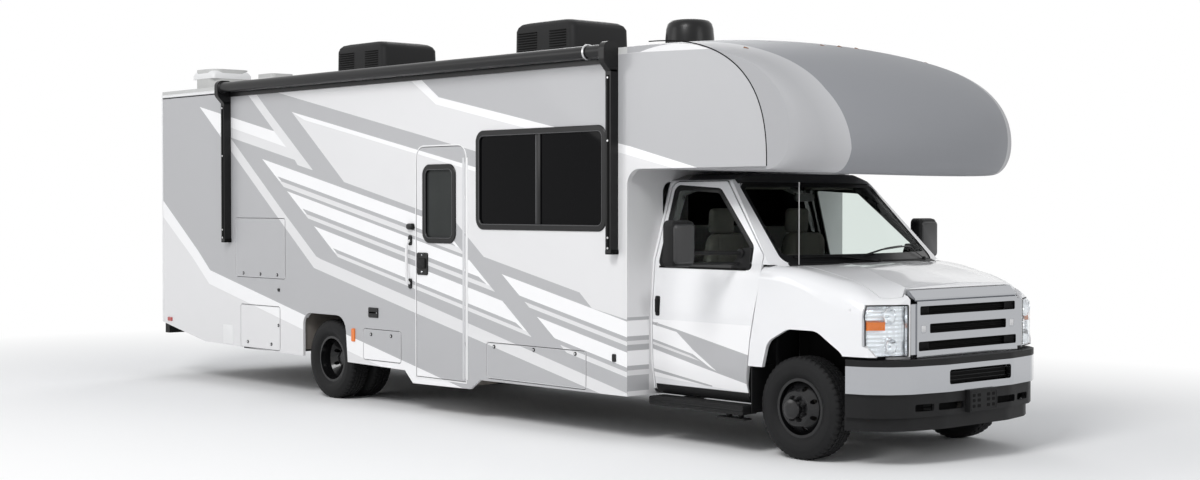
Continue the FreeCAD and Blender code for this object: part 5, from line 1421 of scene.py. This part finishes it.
# Wheels: nuts and hub rings on the rims; tyres with grooved, notched tread.
tyreShape = {
    "radius": 0.368, "columns": 288, "notchEvery": 6, "ribNotch": 0.005, "shoulderNotch": 0.007,
    "profile": ((0.000, 0.368), (0.010, 0.368), (0.0105, 0.359), (0.0185, 0.359), (0.019, 0.368),
                (0.045, 0.3677),
                (0.0455, 0.359), (0.0535, 0.359), (0.054, 0.3672), (0.078, 0.3650), (0.086, 0.359),
                (0.095, 0.347), (0.105, 0.325), (0.1085, 0.312), (0.1105, 0.309), (0.1115, 0.300),
                (0.1118, 0.275), (0.1100, 0.262), (0.1095, 0.256), (0.100, 0.236), (0.084, 0.215),
                (0.072, 0.203))}
wheelTrim = {"nuts": 8, "nutCircle": 0.083, "nut": 0.0155, "axleHeight": 0.368}


def tyre(x, centre):
    # the half profile mirrored about the tread's middle and turned; every sixth column is notched
    half = np.array(tyreShape["profile"])
    profile = np.vstack([half[:0:-1] * (-1, 1), half])
    angles = np.linspace(0, 2 * math.pi, tyreShape["columns"], endpoint=False)
    column = np.arange(tyreShape["columns"])
    away = np.abs(profile[:, :1])
    ribs = (
        (column + 2 * (profile[:, :1] > 0)) % tyreShape["notchEvery"] == 0
    ) & (away < 0.052) & (profile[:, 1:] > 0.362)
    shoulders = (
        (column + 3) % tyreShape["notchEvery"] < 2
    ) & (away > 0.0535) & (away < 0.090) & (profile[:, 1:] > 0.350)
    radius = profile[:, 1:] - tyreShape["ribNotch"] * ribs - tyreShape["shoulderNotch"] * shoulders
    across = centre + np.broadcast_to(profile[:, :1], radius.shape)
    grid = np.stack([x + radius * np.cos(angles), across, tyreShape["radius"] + radius * np.sin(angles)], -1)
    return patch(grid, 0, wrapRows=True, wrapColumns=True)


def wheelDress(x, face, side, capEnd):
    # nuts and studs on the bolted face, a cap over the hub and rings round it
    shapes = []
    for index in range(wheelTrim["nuts"]):
        turn = 2 * math.pi * (index + 0.5) / wheelTrim["nuts"]
        px = x + wheelTrim["nutCircle"] * math.cos(turn)
        pz = wheelTrim["axleHeight"] + wheelTrim["nutCircle"] * math.sin(turn)
        flats = [turn + k * math.pi / 3 for k in range(6)]
        corners = [(px + wheelTrim["nut"] * math.cos(t), pz + wheelTrim["nut"] * math.sin(t)) for t in flats]
        shapes.append(prism(corners, "side", side * (face - 0.003), side * (face + 0.020), 0.002, 1))
        stud = knob([(face, 0.008), (face + 0.028, 0.008), (face + 0.030, 0.005)], (px, 0, pz), "y", 12, 1)
        shapes.append(onSide(stud, side))
    hub = [(capEnd - 0.004, 0.0), (capEnd - 0.004, 0.0715), (capEnd + 0.003, 0.0690), (capEnd + 0.008, 0.058),
           (capEnd + 0.009, 0.030), (capEnd + 0.009, 0.0)]
    collar = [(face - 0.002, 0.0705), (face + 0.006, 0.0705), (face + 0.004, 0.078), (face - 0.002, 0.079)]
    flange = [(face - 0.004, 0.070), (face + 0.0015, 0.070), (face + 0.0015, 0.112), (face - 0.004, 0.113)]
    for profile, material in ((hub, 0), (collar, 1), (flange, 0)):
        shapes.append(onSide(lathe(profile, (x, 0, wheelTrim["axleHeight"]), "y", 48, material), side))
    return shapes


wheelEnds = {  # body, tyre piece, replaced node, axle, tyre middles, bolted face, hub's end
    "front": ("wheel_front_", "road_tyre_front_", "tyre_front_", 0.0, (0.880,), 1.008, 1.053),
    "rear": ("wheels_rear_", "road_tyres_rear_", "tyres_rear_", -5.606, (1.115, 0.859), 0.987, 1.082)}
for word, side in sideNames.items():
    for body, piece, replaced, x, middles, _, _ in wheelEnds.values():
        tyres = [tyre(x, side * middle) for middle in middles]
        makePiece(piece + word, body + word, [tyreRubber], tyres, (replaced + word,), 28)
    for end, (body, _, _, x, _, face, hubEnd) in wheelEnds.items():
        nuts = wheelDress(x, face, side, hubEnd)
        makePiece("wheel_nuts_%s_%s" % (end, word), body + word, [wheelPaint, blackCoat], nuts)
print("wheels dressed")

# Wheel houses, the black rocker under each cab door, and the small step hung below the running board.
underTrim = {
    "wall": (-0.318, 0.478, 0.580, 1.078), "across": (0.602, 0.978), "rocker": (-1.452, -0.482, 0.376, 0.438),
    "step": (-0.720, -0.440, 0.246)
}
rear, front, low, high = underTrim["wall"]
inner, outer = underTrim["across"]
shapes = []
for side in (rightSide, leftSide):
    shapes.append(box((rear, front), (side * inner, side * (inner + 0.003)), (low, high), 0.001, 0))
    shapes.append(box((rear, front), (side * inner, side * outer), (high, high + 0.003), 0.001, 0))
    for x in np.arange(rear + 0.08, front, 0.12):
        shapes.append(
            box((x, x + 0.012), (side * inner, side * (inner + 0.006)), (low + 0.02, high - 0.02), 0.002, 0)
        )
    a, b, z = underTrim["step"]
    shapes.append(box((a, b), (side * 0.985, side * 1.068), (z, z + 0.012), 0.004, 1))
    for k in range(7):
        x = a + 0.02 + (b - a - 0.04) * k / 6
        shapes.append(
            box((x - 0.004, x + 0.004), (side * 0.990, side * 1.063), (z + 0.011, z + 0.015), 0.001, 1)
        )
    for x in (-0.640, -0.520):
        shapes.append(box((x - 0.016, x + 0.016), (side * 1.000, side * 1.030), (z + 0.010, 0.290), 0.004, 1))
    for y in (0.955, 0.985, 1.015, 1.045):
        shapes.append(
            box((-1.410, -0.475), (side * (y - 0.006), side * (y + 0.006)), (0.350, 0.355), 0.0015, 1)
        )
    shapes.append(
        tube(
            [(-1.430, side * 1.066, 0.318), (-0.95, side * 1.066, 0.318), (-0.455, side * 1.066, 0.318)],
            0.010, 10, 1
        )
    )
makePiece("wheel_houses_and_steps", "chassis", [softBlack, grainBlack], shapes)
rear, front, low, high = underTrim["rocker"]
line = dense(np.array([(rear, low), (front + 0.004, low), (front, high), (rear, high)]), 0.03)
rocker = skinPlate(line, [(0.0, 0.0005), (0.0, 0.0032), (-0.003, 0.0042)])
for word, side in sideNames.items():
    makePiece("rocker_" + word, "cab_door_" + word, [grainBlack], [onSide(rocker, side)])
print("wheel houses, rockers and steps made")

# Clearance lamps along the cap's brow and the coach's rear, and the rear lamps.
roofLamps = {
    "front": (
        (-0.450, -0.200, 3.010), (-0.450, 0.0, 3.014), (-0.450, 0.200, 3.010), (-0.439, -1.051, 2.943),
        (-0.439, 1.051, 2.943)
    ),
    "rear": ((-1.050, 2.880), (-0.160, 2.880), (0.0, 2.880), (0.160, 2.880), (1.050, 2.880))}
shapes = []
for x, y, z in roofLamps["front"]:
    rows = [
        (z - 0.024, 0.026, 0.012), (z - 0.002, 0.026, 0.012), (z + 0.006, 0.019, 0.008),
        (z + 0.008, 0.008, 0.003)
    ]
    shape = stack([(height, x - a, x + a, y - b, y + b, b * 0.9) for height, a, b in rows], "plan", 0)
    shape[0][:, 2] -= 0.42 * (shape[0][:, 0] - x)
    shapes.append(shape)
for y, z in roofLamps["rear"]:
    rows = [(-8.752, 0.045, 0.016, 0.014), (-8.762, 0.045, 0.016, 0.014), (-8.770, 0.036, 0.010, 0.009)]
    shapes.append(stack([(x, y - a, y + a, z - b, z + b, radius) for x, a, b, radius in rows], "front", 1))
makePiece("clearance_lamps", "chassis", [smokedAmber, redLens], shapes)

rearLamp = {"centre": 1.100, "half": 0.060, "low": 0.800, "high": 1.180, "back": rearWall, "out": -8.775}
shapes = []
for side in (rightSide, leftSide):
    middle, half = side * rearLamp["centre"], rearLamp["half"]
    low, high, back, out = rearLamp["low"], rearLamp["high"], rearLamp["back"], rearLamp["out"]
    levels = ((back + 0.001, 0, 0.026), (out + 0.012, 0, 0.026), (out + 0.008, 0.004, 0.022))
    shapes.append(cover("front", middle - half, middle + half, low, high, levels))
    for index, (a, b) in enumerate(((0.010, 0.120), (0.128, 0.185), (0.193, 0.248), (0.256, 0.370))):
        lens = [(out + 0.010, 0.008, 0.010), (out + 0.002, 0.009, 0.010), (out + 0.0005, 0.014, 0.008)]
        shapes.append(
            stack([(x, middle - half + i, middle + half - i, low + a + i * 0.3, low + b - i * 0.3, r)
            for x, i, r in lens], "front", (2, 3, 1, 2)[index])
        )
    for y in (middle - 0.045, middle + 0.045):
        for z in (low + 0.005, high - 0.005):
            screw = [(out + 0.010, 0.0), (out + 0.010, 0.0045), (out + 0.0045, 0.0045), (out + 0.004, 0.0)]
            shapes.append(lathe(screw, (0, y, z), "x", 10, 4))
makePiece(
    "rear_lamps", "chassis", [blackCoat, amberLens, redLens, lensClear, satinAlloy], shapes,
    ("tail_lamps",)
)
shapes = [ring(rectangle(-0.150, 0.150, 1.320, 1.470, 0.02), 0.012, "front", -8.7525, -8.762, 0.003, 0),
          cover("front", -0.148, 0.148, 1.322, 1.468, ((-8.7525, 0, 0.018), (-8.7555, 0.002, 0.016)), 1),
          cover("front", -0.030, 0.030, 1.482, 1.500, ((-8.7525, 0, 0.004), (-8.772, 0.002, 0.004)))]
for z in (1.05, 1.62):
    shapes.append(box((-8.7525, -8.7555), (-1.19, 1.19), (z, z + 0.006), 0.001, 2))
makePiece("rear_plate_place", "chassis", [blackCoat, railGrey, railWhite], shapes)
print("lamps made")

# Cab inside: the driver's wheel, visors, the instrument hood, and two padded seats.
wheelShape = {
    "centre": (-0.690, 0.440, 1.225), "radius": 0.185, "grip": 0.0145, "lean": 62,
    "spokes": (20, 160, 250, 290),
    "pad": (
        (-0.060, 0.0), (-0.060, 0.045), (-0.040, 0.066), (-0.018, 0.070), (-0.004, 0.058), (0.002, 0.030),
        (0.003, 0.0)
    )}


def steeringShapes():
    # a ring about an axis that leans back from upright; the spokes run from the hub to the ring
    lean = math.radians(wheelShape["lean"])
    centre = np.array(wheelShape["centre"])
    axis = np.array([-math.sin(lean), 0, math.cos(lean)])
    level, upward = np.array([0.0, 1.0, 0.0]), np.array([math.cos(lean), 0, math.sin(lean)])
    turns = np.linspace(0, 2 * math.pi, 72, endpoint=False)
    around = level * np.cos(turns)[:, None] + upward * np.sin(turns)[:, None]
    path = centre + wheelShape["radius"] * around
    shapes = [sweep(path, circle(wheelShape["grip"], 12), closed=True, up=tuple(axis))]
    for degrees in wheelShape["spokes"]:
        turn = math.radians(degrees)
        out = level * math.cos(turn) + upward * math.sin(turn)
        spoke = [
            centre - axis * 0.030 + out * 0.03, centre - axis * 0.026 + out * 0.08,
            centre - axis * 0.008 + out * 0.15, centre + out * 0.183
        ]
        shapes.append(sweep(smoothPath(spoke, 4), circle(0.019, 10, 0.35), up=tuple(axis)))
    profile = np.array(wheelShape["pad"])
    angles = np.linspace(0, 2 * math.pi, 36, endpoint=False)
    ringDirections = level * np.cos(angles)[:, None] * 1.15 + upward * np.sin(angles)[:, None] * 0.9
    grid = centre + profile[:, :1, None] * axis + profile[:, 1:, None] * ringDirections[None]
    shapes.append(patch(grid, 0, wrapRows=True, wrapColumns=True))
    shapes.append(tube([centre - axis * 0.055, centre - axis * 0.11, centre - axis * 0.175], 0.034, 20, 0))
    return shapes


makePiece("driver_wheel", "chassis", [dashGrain], steeringShapes(), ("steering_wheel",))
across = np.linspace(-0.855, 0.855, 72)
hood = 0.030 * np.exp(-((across - 0.44) / 0.22) ** 4)
rows = [
    (-0.352, 1.3445), (-0.400, 1.3500), (-0.460, 1.3460), (-0.520, 1.3180), (-0.562, 1.2780),
    (-0.5720, 1.2500), (-0.560, 1.2400), (-0.430, 1.3340)
]
lifts = (0.0, 0.3, 0.8, 1.0, 1.0, 0.8, 0.6, 0.2)
grid = np.stack(
    [np.stack([np.full(72, x) - hood * 0.5 * lift, across, z + hood * lift], -1)
    for (x, z), lift in zip(rows, lifts)]
)
ends = [[row * 72 for row in range(8)], [row * 72 + 71 for row in range(8)][::-1]]
top = patch(grid, 0, wrapRows=True)
shapes = [(top[0], top[1] + ends, 0)]
for y in (-0.76, -0.18, 0.18, 0.76):
    shapes.append(
        ring(rectangle(y - 0.055, y + 0.055, 1.150, 1.215, 0.012), 0.006, "front", -0.566, -0.575, 0.002, 1)
    )
    for z in (1.163, 1.176, 1.189, 1.202):
        shapes.append(box((-0.574, -0.567), (y - 0.054, y + 0.054), (z - 0.002, z + 0.002), 0.0008, 1))
shapes.append(cover("front", -0.110, 0.110, 1.075, 1.135, ((-0.566, 0, 0.010), (-0.574, 0.002, 0.009)), 2))
for side in (rightSide, leftSide):
    visor = [(1.930, 0.004), (1.935, 0.0), (1.945, 0.0), (1.950, 0.004)]
    shapes.append(
        stack([(z, -0.965 + i, -0.835 - i, *sorted((side * 0.120, side * 0.640)), 0.03)
        for z, i in visor], "plan", 3)
    )
levels = ((-0.800, 0, 0.025), (-0.815, -0.002, 0.026), (-0.822, 0.004, 0.022))
shapes.append(cover("front", -0.110, 0.110, 1.840, 1.900, levels, 1))
shapes.append(tube([(-0.805, 0, 1.885), (-0.812, 0, 1.930), (-0.826, 0, 1.966)], 0.008, 10, 1, up=(1, 0, 0)))
makePiece("dash_top", "chassis", [dashGrain, blackCoat, beadGrey, seatCloth], shapes)

seatTrim = {"sides": 0.440, "puff": 0.55, "corner": 0.32, "channel": 0.007}


def cushion(centre, half, lean, channels, rise=0.0):
    # a superellipsoid, pillowy in section and square in outline, with grooves pressed in where it is sewn
    u = np.linspace(0, 2 * math.pi, 96, endpoint=False)[None, :]
    v = np.linspace(-math.pi / 2, math.pi / 2, 49)[:, None]
    power = lambda values, exponent: np.sign(values) * np.abs(values) ** exponent
    flat = power(np.cos(v), seatTrim["puff"])
    a = flat * power(np.cos(u), seatTrim["corner"])
    b = flat * power(np.sin(u), seatTrim["corner"])
    c = power(np.sin(v), seatTrim["puff"]) * (1 + rise * (np.abs(b) ** 3) - 0.10 * np.abs(a) ** 2.5)
    groove = sum(np.exp(-(((a if axis == 0 else b) - at) / 0.035) ** 2) for axis, at in channels)
    c = np.clip(c, -1, 1) * half[2] - np.sign(c) * seatTrim["channel"] * groove * np.abs(flat)
    x, y = a * half[0], b * half[1]
    turn = math.radians(lean)
    grid = np.stack(
        [x * math.cos(turn) + c * math.sin(turn), y + 0 * c, c * math.cos(turn) - x * math.sin(turn)], -1
    )
    return patch(grid + np.asarray(centre, float), 0, wrapColumns=True)


for word, side in sideNames.items():
    y = side * seatTrim["sides"]
    low = cushion(
        (-0.985, y, 0.925), (0.245, 0.243, 0.058), -2.0,
        ((1, -0.62), (1, 0.62), (0, -0.45), (0, 0.1), (0, 0.6)), 0.12
    )
    back = cushion(
        (-1.233, y, 1.268), (0.325, 0.235, 0.055), -82.7,
        ((1, -0.62), (1, 0.62), (0, -0.5), (0, 0.0), (0, 0.5)), 0.12
    )
    rest = cushion((-1.277, y, 1.684), (0.100, 0.125, 0.040), -86.0, ((0, 0.0),), 0.0)
    for part, shape in (("cushion", low), ("back", back), ("headrest", rest)):
        pad = makePiece("seat_%s_%s" % (part, word), "chassis", [seatCloth], [shape], sharp=80)
shapes = []
for side in (rightSide, leftSide):
    y = side * seatTrim["sides"]
    rows = [(0.632, -1.225, -0.825, 0.165), (0.800, -1.225, -0.825, 0.165), (0.856, -1.215, -0.775, 0.200)]
    shapes.append(
        stack([(z, rear, front, y - half, y + half, 0.03)
        for z, rear, front, half in rows], "plan")
    )
    for offset in (-0.050, 0.050):
        shapes.append(
            tube(
                [(-1.268, y + offset, 1.560), (-1.272, y + offset, 1.600), (-1.276, y + offset, 1.640)],
                0.006, 8, 1, up=(1, 0, 0)
            )
        )
    for edge in (y - 0.246, y + 0.246):
        shapes.append(box((-1.240, -1.100), (edge - 0.004, edge + 0.004), (0.870, 0.990), 0.003, 0))
makePiece("seat_frames", "chassis", [grainBlack, chromeSkin], shapes, ("seats",))
print("cab inside made")

# Camera, lamps and floor.
eye = {"place": (12.2898, -10.352, 1.8153), "turn": 137.97, "pitch": -0.0203, "lens": 52.749}
turn = math.radians(eye["turn"])
ahead = Vector(
    (math.cos(turn) * math.cos(eye["pitch"]), math.sin(turn) * math.cos(eye["pitch"]), math.sin(eye["pitch"]))
)
lens = bpy.data.cameras.new("camera")
lens.lens, lens.sensor_width, lens.sensor_fit = eye["lens"], 36, "HORIZONTAL"
camera = bpy.data.objects.new("camera", lens)
camera.location = eye["place"]
camera.rotation_euler = ahead.to_track_quat("-Z", "Y").to_euler()
bpy.context.scene.collection.objects.link(camera)
bpy.context.scene.camera = camera
bpy.context.scene.view_settings.view_transform = "Standard"

lamps = {  # place, aim, size, power
    "key": ((6.0, -12.0, 12.0), (0, 0, 1.2), 6.0, 1250), "fill": ((-8.0, -13.0, 6.0), (-1, 0, 1.2), 8.0, 330),
    "front": ((16.0, 1.0, 6.0), (3, 0, 1.4), 6.0, 260), "back": ((-10.0, 10.0, 9.0), (0, 0, 1.5), 8.0, 450)}
for name, (place, aim, size, power) in lamps.items():
    light = bpy.data.lights.new(name, "AREA")
    light.shape, light.size, light.energy = "DISK", size, power
    lamp = bpy.data.objects.new(name, light)
    lamp.location = place
    lamp.rotation_euler = (Vector(aim) - Vector(place)).to_track_quat("-Z", "Y").to_euler()
    bpy.context.scene.collection.objects.link(lamp)

world = bpy.data.worlds.new("sky")
bpy.context.scene.world = world
world.use_nodes = True
sky = world.node_tree
background = sky.nodes["Background"]
background.inputs["Color"].default_value = (0.95, 0.97, 1.0, 1)
background.inputs["Strength"].default_value = 0.50


def seenAsPaper(tree):
    # 1 for rays from the camera, from metal and through glass
    rays = tree.nodes.new("ShaderNodeLightPath")
    calc = calculator(tree)
    return calc(
        "MAXIMUM", rays.outputs["Is Camera Ray"],
        calc("MAXIMUM", rays.outputs["Is Glossy Ray"], rays.outputs["Is Transmission Ray"])
    )


paper = sky.nodes.new("ShaderNodeBackground")
paper.inputs["Color"].default_value = (1, 1, 1, 1)
paper.inputs["Strength"].default_value = 1.0
choose = sky.nodes.new("ShaderNodeMixShader")
sky.links.new(seenAsPaper(sky), choose.inputs["Fac"])
sky.links.new(background.outputs["Background"], choose.inputs[1])
sky.links.new(paper.outputs["Background"], choose.inputs[2])
sky.links.new(choose.outputs["Shader"], sky.nodes["World Output"].inputs["Surface"])

# The floor takes the shadow near the vehicle and turns into white paper further out.
floorLook = {"size": 60, "long": 3.5, "near": 2.6, "fade": 5.0, "tone": (0.93, 0.93, 0.93)}
size = floorLook["size"]
floorMesh = bpy.data.meshes.new("floor")
floorMesh.from_pydata(
    [(-size, -size, 0), (size, -size, 0), (size, size, 0), (-size, size, 0)], [], [(0, 1, 2, 3)]
)
floor = bpy.data.objects.new("floor", floorMesh)
bpy.context.scene.collection.objects.link(floor)
floorPaper = finish("floorPaper", floorLook["tone"], 0.95, shift=0.0, specular=0.0)
tree = floorPaper.node_tree
calc = calculator(tree)
x, y, z = placeOf(tree)
along = calc("MAXIMUM", calc("SUBTRACT", calc("ABSOLUTE", x), floorLook["long"]), 0.0)
away = calc("SQRT", calc("ADD", calc("MULTIPLY", y, y), calc("MULTIPLY", along, along)))
share = calc("DIVIDE", calc("SUBTRACT", away, floorLook["near"]), floorLook["fade"])
share = calc("MINIMUM", calc("MAXIMUM", share, 0.0), 1.0)
glow = tree.nodes.new("ShaderNodeEmission")
glow.inputs["Color"].default_value = (1, 1, 1, 1)
glow.inputs["Strength"].default_value = 1.0
blend = tree.nodes.new("ShaderNodeMixShader")
tree.links.new(calc("MULTIPLY", share, seenAsPaper(tree)), blend.inputs["Fac"])
tree.links.new(tree.nodes["Principled BSDF"].outputs["BSDF"], blend.inputs[1])
tree.links.new(glow.outputs["Emission"], blend.inputs[2])
tree.links.new(blend.outputs["Shader"], tree.nodes["Material Output"].inputs["Surface"])
floorMesh.materials.append(floorPaper)
